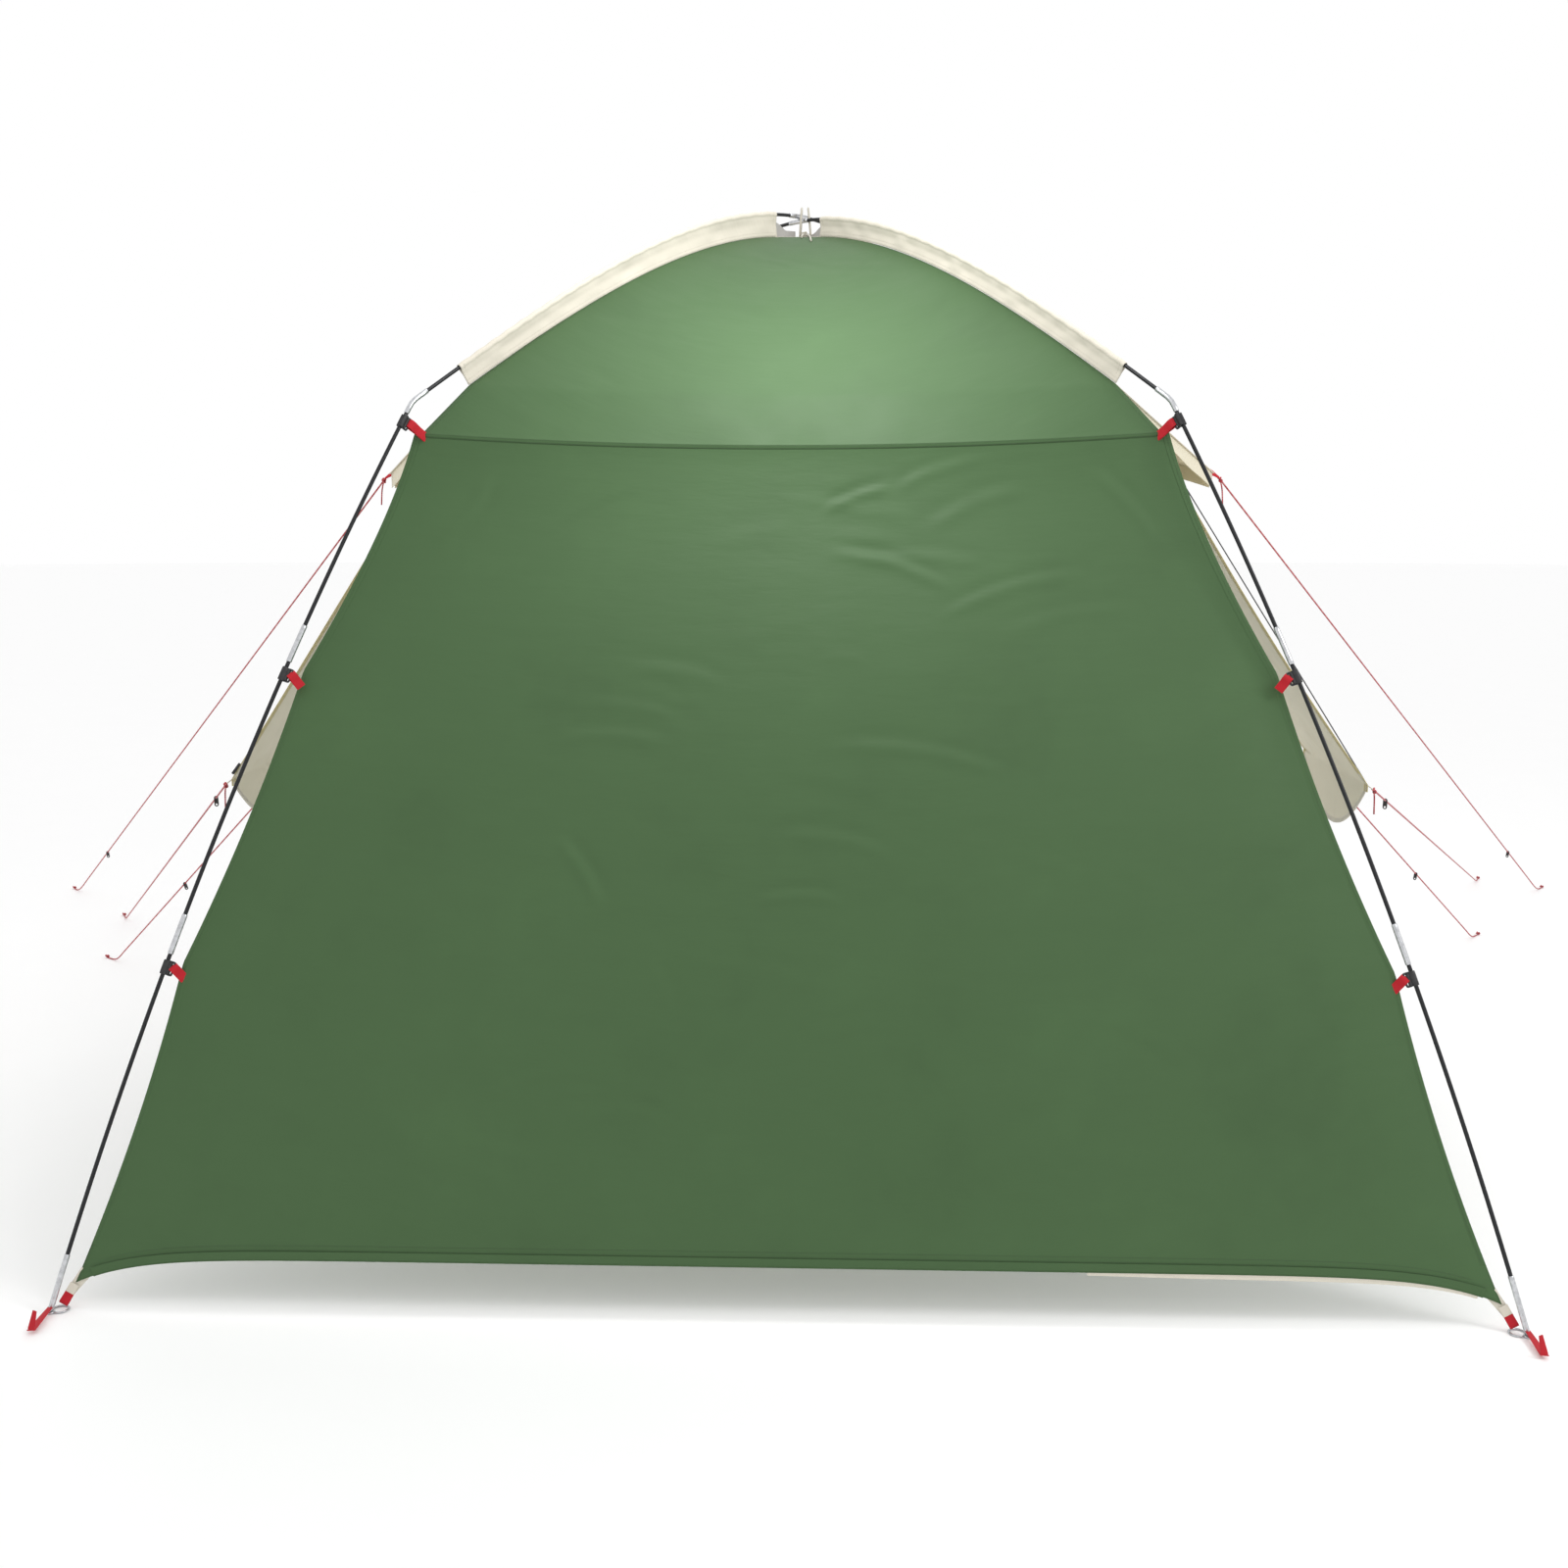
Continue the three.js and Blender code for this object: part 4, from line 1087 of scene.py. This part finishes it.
class SHELTER_OT_wall(bpy.types.Operator):
    """Green wall between the near legs with its hem and seams"""

    bl_idname = "shelter.wall"
    bl_label = "Near wall"

    def execute(self, _context):
        u, v = net(176, 250)
        points = wall(u, v, 0.003)
        edge = np.minimum(1, np.minimum(1 - np.abs(u), np.minimum(v, 1 - v)) / 0.06)
        creases = np.concatenate(
            [
                np.array(WALL_CREASES) * [1, 1, 1, 1, 1.9, 0.9],
                small_creases(5, 60, (-1.1, 1.0, 0.15, 1.6), (0.08, 0.3), (0.0003, 0.0010)),
            ]
        )
        lift = folds(points[..., 0], points[..., 2], creases)
        sway = 0.004 * np.sin(3.1 * points[..., 0] + 1.3 * points[..., 2]) * np.sin(4.2 * v + 0.6)
        points = points + normals_of(points) * ((lift + sway) * smooth(edge))[..., None]
        panel = sheet(points, "near_wall_cloth", "green", "near_wall")
        seam, thread = Skin(), Skin()
        outward = normals_of(points)
        wide = sizes().seam_width
        eave = points[0] + outward[0] * 0.0007
        ribbon(seam, eave + [0, 0, -0.002], (0, 0, 1), wide * 0.8, 0.0008)
        for drop in (0.0005, -0.0065):
            stitches(thread, eave + outward[0] * 0.0007 + [0, 0, drop], outward[0])
        for inset in (-4, -3):
            stitches(thread, (points[inset] + outward[inset] * 0.0004)[4:-4], outward[inset][4:-4])
        for column, inset in ((0, 1), (-1, -2)):
            line = lerp(points[:, column], points[:, inset], 0.9)[:-7]
            ribbon(seam, line + outward[:-7, column] * 0.0006, np.array([1.0, 0, 0]), 0.014, 0.0009)
            stitches(thread, line + outward[:-7, column] * 0.0012, outward[:-7, column])
        hem = (points[-1] - outward[-1] * 0.0009 + [0, 0, 0.008])[3:-3]
        ribbon(seam, hem, (0, 0, 1), 0.018, 0.0009)
        place(seam.make("near_wall_seams", [finishes()["green"]]))
        place(thread.make("near_wall_stitching", [finishes()["green_thread"]]))
        strip = points[-1, 178:-4] - outward[-1, 178:-4] * 0.0022 - [0, 0, 0.0035]
        ease = 0.004 * (1 - np.sin(np.pi * np.linspace(0, 1, len(strip))))[:, None] * [0, 0, 1]
        tape = ribbon(Skin(), strip + ease, (0, 0, 1), 0.014, 0.0009)
        place(tape.make("near_wall_hem_tape", [finishes()["tape"]]))
        return {"FINISHED"}


class SHELTER_OT_roof(bpy.types.Operator):
    """Green near and far roof gores and the cream crown patch"""

    bl_idname = "shelter.roof"
    bl_label = "Roof gores"

    def execute(self, _context):
        thread = Skin()
        for name, side, seed in (("near", -1, 11), ("far", 1, 12)):
            u, v = net(120, 150)
            points = plain_gore(u, v, side)
            creases = small_creases(seed, 22, (-0.5, 0.45, 0.1, 0.9), (0.10, 0.34), (0.0002, 0.0006))
            points, outward = creased(points, u, v, 0, creases * [1, 1, 1, 1, 1, 1.6])
            drops = np.array([0.0012, 0.0045, 0.009])[:, None, None] * [0, 0, -1]
            fold = points[-1] + [0, 0.0013 * side, 0] + drops
            grid = np.concatenate([points, fold])
            gore = sheet(grid, f"{name}_roof_gore", "green", f"{name}_roof")
            for column, inset in ((0, 2), (-1, -3)):
                line = lerp(points[:, column], points[:, inset], 0.5)
                stitches(thread, line + outward[:, column] * 0.0004, outward[:, column])
            stitches(thread, fold[-1] + [0, side * 0.0004, 0.0025], (0, side, 0))
        place(thread.make("roof_stitching", [finishes()["green_thread"]]))
        u, v = net(40, 40)
        y = 1 - 2 * v
        half, height = ridge(np.zeros((1, 1)))
        reach = half[0, 0] + 0.004
        dome = (1 - u * u) * (1 - y * y)
        rumple = 0.0012 * np.sin(5 * u + 2 * y) * np.cos(4 * y - u) * dome
        grid = np.stack([u * reach, y * reach, height[0, 0] + 0.003 * dome + rumple], -1)
        patch = sheet(grid, "crown_patch_cloth", "cream", "crown_patch")
        webs = Skin()
        for corner in CORNERS:
            pole = pole_of(corner)
            s = np.linspace(pole.half - SLEEVE_END - 0.006, pole.half - 0.012, 26)
            point, _, _, side = pole.spot(corner, s)
            share = np.linspace(0, 1, 26)[:, None]
            q = np.linspace(0, 1, 12)[None]
            floor = height[0, 0] + 0.0012
            top = point[:, 2:] - lerp(0.016, 0.036, smooth(share * 1.6))
            z = lerp(floor, top, q)
            wave = 0.0018 * np.sin(share * 9 + q * 2) * np.sin(np.pi * share)
            web = point[:, None] * [1, 1, 0] + z[..., None] * [0, 0, 1] + wave[..., None] * side[:, None]
            webs.grid(web, cloth_uv(web))
        # the web cloth is cream painted grey as shade
        webs = webs.make("crown_webs", [finishes()["web"]])
        thicken(webs, 0.0008)
        place(webs)
        return {"FINISHED"}


class SHELTER_OT_visors(bpy.types.Operator):
    """Left and right cream gores with their peaked visors"""

    bl_idname = "shelter.visors"
    bl_label = "Visor gores"

    def execute(self, _context):
        trim, skirts, thread = Skin(), Skin(), Skin()
        for name, side, seed in (("left", -1, 21), ("right", 1, 22)):
            u, v = net(150, 120)
            points = visor_gore(u, v, side)
            creases = small_creases(seed, 30, (-0.5, 0.45, 0.1, 0.95), (0.10, 0.3), (0.0005, 0.0016))
            points, outward = creased(points, u, v, 1, creases * [1, 1, 1, 1, 1, 1.6])
            gore = sheet(points, f"{name}_roof_gore", "flap", f"{name}_roof")
            points, outward = points[99:], outward[99:]
            for column, inset in ((0, 3), (-1, -4)):
                line = lerp(points[:, column], points[:, inset], 0.5)
                ribbon(trim, line + outward[:, column] * 0.0004, (0, 1, 0), 0.012, 0.0022)
                hang = line[::2]
                deep = 0.006 + 0.030 * smooth(np.linspace(0, 1, len(hang)) * 1.25)[:, None]
                q = np.linspace(0, 1, 14)[None]
                flutter = 0.0025 * np.sin(run(hang)[:, None] * 40 + q * 2) * q
                y = np.sign(hang[:, 1])[:, None]
                skirt = np.stack(
                    [
                        hang[:, :1] + 0 * q,
                        hang[:, 1:2] + y * (0.001 + flutter),
                        hang[:, 2:] - q * deep,
                    ],
                    -1,
                )
                skirts.grid(skirt, cloth_uv(skirt))
                stitches(thread, line + outward[:, column] * 0.0016, outward[:, column])
        place(trim.make("visor_binding", [finishes()["tape"]]))
        skirt = thicken(skirts.make("visor_skirts", [finishes()["flap"]]), sizes().cloth)
        place(skirt)
        place(thread.make("visor_stitching", [finishes()["cream_thread"]]))
        return {"FINISHED"}


class SHELTER_OT_flaps(bpy.types.Operator):
    """Left and right hanging flaps with their edge tapes and stitches"""

    bl_idname = "shelter.flaps"
    bl_label = "Hanging flaps"

    def execute(self, _context):
        for name, side, seed in (("left", -1, 41), ("right", 1, 42)):
            u, v = net(150, 120)
            points = flap(u, v, side)
            creases = small_creases(seed, 34, (-0.40, 0.36, 0.1, 0.85), (0.10, 0.3), (0.0012, 0.0036))
            points, outward = creased(points, u, v, 1, creases * [1, 1, 1, 1, 1, 1.7])
            cloth = sheet(points, f"{name}_flap_cloth", "flap", f"{name}_flap")
            trim, thread = Skin(), Skin()
            for column, step in ((0, 3), (-1, -4)):
                line = lerp(points[:, column], points[:, column + step], 0.35)
                # paint 1 is the edge tape, its yellow is painted light for sun shining through the cream edge
                ribbon(trim, line, (0, 1, 0), 0.026, 0.0024, paint=1)
                for face in (1, -1):
                    row = lerp(points[:, column], points[:, column + step], 0.75)
                    stitches(thread, row + outward[:, column] * 0.0013 * face, outward[:, column] * face)
            low = points[-1] + [0, 0, 0.006]
            ribbon(trim, low, (0, 0, 1), 0.012, 0.0022)
            stitches(thread, low + outward[-1] * 0.0012, outward[-1])
            stitches(thread, low - outward[-1] * 0.0012, -outward[-1])
            top = points[0] - (points[0] - points[1]) * 0.8
            ribbon(trim, top, points[1, 60] - points[0, 60], 0.016, 0.0024)
            trim_piece = trim.make(f"{name}_flap_tapes", [finishes()["tape"], finishes()["edge"]])
            place(trim_piece)
            sewn = place(
                thread.make(f"{name}_flap_stitching", [finishes()["cream_thread"]])
            )
        return {"FINISHED"}


CLIPS = [
    (corner, name)
    for corner in CORNERS
    for name in (("lower", "middle", "upper") if corner.startswith("near") else ("upper",))
]


def clip_frame(corner, name):
    """A clip's middle on its rod, and unit vectors along the rod, towards the cloth and sideways."""
    pole = pole_of(corner)
    s = CLIP_LENGTHS[name]
    point, along, _, _ = (a[0] for a in pole.spot(corner, s))
    sx, sy = CORNERS[corner]
    inward = np.array([-sx, -sy, 0.0]) if name == "upper" else np.array([-sx, 0.0, 0.0])
    reach = unit(inward - along * (inward @ along))
    return point, along, reach, np.cross(reach, along)


class SHELTER_OT_clips(bpy.types.Operator):
    """Hook clips on the rods and the red straps from them to the cloth"""

    bl_idname = "shelter.clips"
    bl_label = "Clips and straps"

    def execute(self, _context):
        for corner, name in CLIPS:
            point, along, reach, side = clip_frame(corner, name)
            body = f"{corner}_{name}_clip"
            skin = Skin()
            turn = np.radians(np.linspace(-90 + 52, 270 - 52, 40))
            mouth = np.cos(turn)[:, None] * side + np.sin(turn)[:, None] * reach
            path = point + mouth * 0.0064
            ribbon(skin, path, along, 0.028, 0.0032)
            collar = np.linspace(-0.0115, 0.0115, 12)[:, None] * along + point + reach * 0.0085
            ribbon(skin, collar, side, 0.0085, 0.0062)
            quarter = np.linspace(0, np.pi / 2, 6)
            loop = []
            for cx, cy, start in ((1, 1, 0), (-1, 1, 1), (-1, -1, 2), (1, -1, 3)):
                bendy = quarter + start * np.pi / 2
                loop += [
                    (0.0112 + cx * 0.0024 + 0.0024 * c, cy * 0.0098 + 0.0024 * t)
                    for c, t in zip(np.cos(bendy), np.sin(bendy))
                ]
            loop = np.array(loop)
            ring = point + loop[:, :1] * reach + loop[:, 1:] * along
            tube(skin, ring, side, 0.0022, 8, ring=True)
            place(skin.make(f"{body}_hook", [finishes()["plastic"]], 45), body, [body])
            self.strap(corner, name, body, point, along, reach)
        return {"FINISHED"}

    def strap(self, corner, name, body, point, along, reach):
        """Red webbing looped through a clip's bar, its two layers sewn to the cloth's edge."""
        bar = point + reach * 0.0150 + along * 0.004
        sx, sy = CORNERS[corner]
        if name == "upper":
            anchor = [sx * (EAVE_CORNER - 0.004), sy * (EAVE_CORNER + 0.001), EAVE_HEIGHT - 0.007]
            anchor = np.array(anchor)
        else:
            anchor = point + reach * 0.0360 - along * 0.012
            anchor[1] = sy * (leg_at(anchor[2]) - WALL_SET_BACK) + sy * 0.001
        way = unit(anchor - bar)
        face = unit(np.cross(way, along))
        across = np.cross(face, way)
        end = anchor + way * 0.006
        gap = STRAP_GAP
        outer = [
            end + face * gap * 0.5, lerp(bar, end, 0.55) + face * gap * 0.7, bar + face * gap * 1.35,
            bar - way * gap * 1.45,
            bar - face * gap * 1.35, lerp(bar, end, 0.55) - face * gap * 0.7, end - face * gap * 0.5,
        ]
        thick = sizes().strap
        skin = ribbon(Skin(), through(outer, 0.0016), across, sizes().strap_width * 0.92, thick)
        strap = skin.make(f"{corner}_{name}_strap", [finishes()["red"]], 60)
        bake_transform(strap)
        box = Skin()
        for offset in (-1, 1):
            line = lerp(anchor - way * 0.003, end - way * 0.001, np.linspace(0, 1, 6)[:, None])
            for layer in (1, -1):
                edge = line + across * offset * STRAP_SEAM + face * layer * (gap * 0.5 + thick * 0.5)
                stitches(box, edge, face * layer)
        for layer in (1, -1):
            line = anchor + way * 0.004 + across * np.linspace(-STRAP_SEAM, STRAP_SEAM, 6)[:, None]
            stitches(box, line + face * layer * (gap * 0.5 + thick * 0.5), face * layer)
        place(box.make(f"{corner}_{name}_strap_stitching", [finishes()["red"]]))


class SHELTER_OT_feet(bpy.types.Operator):
    """Steel rings, base plates, pins, corner webbing and peg loops at the feet"""

    bl_idname = "shelter.feet"
    bl_label = "Feet"

    def execute(self, _context):
        foot = FOOT_SPAN / 2
        for corner, (sx, sy) in CORNERS.items():
            skin = Skin()
            inset = foot - 0.018 / math.sqrt(2)
            centre = np.array([sx * inset, sy * inset, 0.0021])
            turn = turns(48)
            circle = centre + 0.015 * np.stack([np.cos(turn), np.sin(turn), 0 * turn], -1)
            tube(skin, circle, (0, 0, 1), 0.002, 12, ring=True)
            profile = np.array([(0.0, 0.0), (0.0072, 0.0), (0.008, 0.0008), (0.008, 0.0032),
                                (0.0072, 0.004), (0.004, 0.0044), (0.0, 0.0045)])
            base = np.array([sx * foot, sy * foot, 0.0])
            stem = base + np.array([0, 0, 1.0]) * profile[1:-1, 1:]
            tube(skin, stem, (1, 0, 0), profile[1:-1, 0], 28)
            point, _, out, _ = pole_of(corner).spot(corner, np.linspace(0, 0.030, 8))
            start = base + [0, 0, 0.003]
            pin = np.concatenate([start[None], point[1:]])
            tube(skin, pin, out[0], 0.0025, 12)
            place(skin.make(f"{corner}_foot_ring", [finishes()["steel"]], 50),
                  nodes=[f"{corner}_ring_pin"])
            red = Skin()
            facing = unit(np.array([0.0, sy * 0.80, 0.60]))
            root = base + [0, sy * -0.004, 0.012]
            vertex = base + [-sx * 0.004, sy * 0.082, 0.0085]
            tip = vertex + [-sx * 0.009, 0, 0.036]
            for start, end, broad in ((root, vertex, (0.010, 0.016)), (vertex, tip, (0.014, 0.008))):
                way = unit(end - start)
                arm = np.linspace(start, end + way * (0.002 if start is root else 0), 14)
                arm = arm + facing * (0.0 if start is root else 0.0018)
                wide = lerp(*broad, np.linspace(0, 1, 14))
                ribbon(red, arm, np.cross(facing, way), wide, 0.0017)
            if sy < 0:
                leg = leg_at(HEM_CORNER)
                cloth = np.array([sx * (leg - WALL_GAP), -(leg - WALL_SET_BACK), HEM_CORNER])
                hook = centre + unit(cloth - centre) * 0.0135 + [0, 0, 0.001]
                way = unit(cloth - hook)
                front = unit(np.array([0, -1.0, 0]) + way * way[1])
                turned = unit(np.cross(way, front))
                loop = [
                    lerp(hook, cloth, 0.60) + front * 0.0012, lerp(hook, cloth, 0.3) + front * 0.0020,
                    hook + front * 0.0034, hook - way * 0.0036, hook - front * 0.0034,
                    lerp(hook, cloth, 0.3) - front * 0.0020, lerp(hook, cloth, 0.60) - front * 0.0012,
                ]
                ribbon(red, through(loop, 0.0015), turned, 0.017, 0.0015)
                inner = np.array([-sx * 0.010, 0, 0.004])
                share = np.linspace(0, 1, 16)
                tab = lerp(lerp(hook, cloth, 0.5), cloth + way * 0.020 + inner, share[:, None])
                wider = lerp(0.0165, 0.024, share)
                cream = ribbon(Skin(), tab - front * 0.0028, turned, wider, 0.0016)
                outer = lerp(tab[0], cloth, np.linspace(0, 0.9, 8)[:, None]) + front * 0.0024
                ribbon(cream, outer, turned, 0.0172, 0.0014)
                place(cream.make(f"{corner}_corner_tab", [finishes()["tape"]], 60))
            place(red.make(f"{corner}_peg_loop", [finishes()["red"]], 60))
        return {"FINISHED"}


class SHELTER_OT_fittings(bpy.types.Operator):
    """Crown tie, guy tabs, the left flap's toggle, the right flap's edge cord and the runners' looks"""

    bl_idname = "shelter.fittings"
    bl_label = "Fittings"

    def execute(self, _context):
        tie = Skin()
        high, low = CROWN_HEIGHT + 0.019, CROWN_HEIGHT - 0.050
        for x, lean, deep in ((0.005, 0.06, 0.021), (0.026, -0.10, 0.018)):
            turn = turns(56)
            y, z = deep * np.cos(turn), (high - low) / 2 * np.sin(turn)
            loop = np.stack([x + lean * z, y, (high + low) / 2 + z], -1)
            tube(tie, loop, (1, 0, 0), 0.0026, 8, ring=True)
        slope = plain_gore(np.zeros((1, 60)), np.linspace(0, 0.5, 60)[None], -1)[0]
        for x, drift, long in ((0.012, -0.003, 0.085), (0.020, 0.012, 0.125)):
            y = -np.array([0.020, 0.034, 0.062, 0.75 * long, long])
            z = np.interp(y, slope[::-1, 1], slope[::-1, 2]) + [0.012, 0.008, 0.005, 0.0042, 0.0042]
            across = x + drift * np.array([0, 0.2, 0.5, 0.8, 1.0])
            tube(tie, through(np.stack([across, y, z], -1), 0.002), (1, 0, 0), 0.0022, 8)
        line, toward = trefoil((0.014, -0.020, low + 0.006), 0.0058, 0.0, 1.35)
        tube(tie, line, toward, 0.0019, 8, ring=True)
        place(tie.make("crown_tie", [finishes()["string"]]))
        tabs = Skin()
        for name, (tie_point, _) in ROPES.items():
            start = np.array(tie_point)
            side = np.sign(start[0])
            if "visor" in name:
                tip = np.array([side * VISOR_TIP[0], 0.0, VISOR_TIP[1]])
                back = tip - np.array([side * 0.014, 0, -0.004])
                line = through([back, tip, start + [side * 0.004, 0, -0.004]], 0.002)
                wide = lerp(0.024, 0.007, smooth(run(line) / run(line)[-1]))
                ribbon(tabs, line, (0, 0.6, 0.8), wide, 0.0024)
            else:
                reach, across, height = FLAP_NEAR if "near" in name else FLAP_FAR
                corner = np.array([side * reach, across, height])
                inner = corner + [-side * 0.030, -np.sign(start[1]) * 0.006, 0.046]
                line = through([inner, corner, start], 0.002)
                wide = lerp(0.020, 0.008, smooth(run(line) / run(line)[-1]))
                ribbon(tabs, line, (0, 1, 0), wide, 0.0020, paint=1)
        place(tabs.make("guy_tabs", [finishes()["red"], finishes()["tape"]]))
        for name in ROPES:
            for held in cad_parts[f"{name}_runner"].material_slots:
                held.material = finishes()["plastic"]
        toggle = Skin()
        corner = np.array([-FLAP_NEAR[0], FLAP_NEAR[1], FLAP_NEAR[2]])
        start, end = corner + [0.020, -0.006, 0.036], corner + [0.003, -0.008, 0.013]
        line = lerp(start, end, np.linspace(0, 1, 12)[:, None])
        ribbon(toggle, line, (0, 1, 0), 0.009, 0.006)
        place(toggle.make("left_flap_toggle", [finishes()["plastic"]], 45))
        top = np.array([FLAP_TOP[0] + 0.004, -FLAP_HALF_WIDTH - 0.003, FLAP_TOP[1]])
        corner = np.array([FLAP_NEAR[0], -FLAP_HALF_WIDTH - 0.003, FLAP_NEAR[2]])
        straight = lerp(top, corner, np.linspace(0, 1, 60)[:, None])
        edge = tube(Skin(), straight, (0, 1, 0), 0.0014, 8)
        place(edge.make("right_flap_edge_cord", [finishes()["dark_cord"]]))
        return {"FINISHED"}


STEPS = [
    SHELTER_OT_stage,
    SHELTER_OT_ropes,
    SHELTER_OT_poles,
    SHELTER_OT_sleeves,
    SHELTER_OT_wall,
    SHELTER_OT_roof,
    SHELTER_OT_visors,
    SHELTER_OT_flaps,
    SHELTER_OT_clips,
    SHELTER_OT_feet,
    SHELTER_OT_fittings,
]


class SHELTER_PT_panel(bpy.types.Panel):
    """Sidebar panel with the settings and one button for each group of pieces"""

    bl_label = "Dome shelter"
    bl_idname = "SHELTER_PT_panel"
    bl_space_type = "VIEW_3D"
    bl_region_type = "UI"
    bl_category = "Shelter"

    def draw(self, context):
        """Lists the settings and the operators."""
        for group in (context.scene.shelter_colours, context.scene.shelter_sizes):
            for key in group.bl_rna.properties.keys():
                if key not in ("rna_type", "name"):
                    self.layout.prop(group, key)
        for step in STEPS:
            self.layout.operator(step.bl_idname)


CLASSES = [ShelterColours, ShelterSizes, *STEPS, SHELTER_PT_panel]


def register():
    """Registers the classes and hangs the settings on the scene."""
    for made in CLASSES:
        bpy.utils.register_class(made)
    bpy.types.Scene.shelter_colours = bpy.props.PointerProperty(type=ShelterColours)
    bpy.types.Scene.shelter_sizes = bpy.props.PointerProperty(type=ShelterSizes)


def unregister():
    """Takes the settings and the classes away again."""
    del bpy.types.Scene.shelter_sizes
    del bpy.types.Scene.shelter_colours
    for made in reversed(CLASSES):
        bpy.utils.unregister_class(made)


def main():
    """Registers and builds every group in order."""
    register()
    for step in STEPS:
        group, name = step.bl_idname.split(".")
        getattr(getattr(bpy.ops, group), name)()
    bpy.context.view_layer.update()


if __name__ == "__main__":
    main()
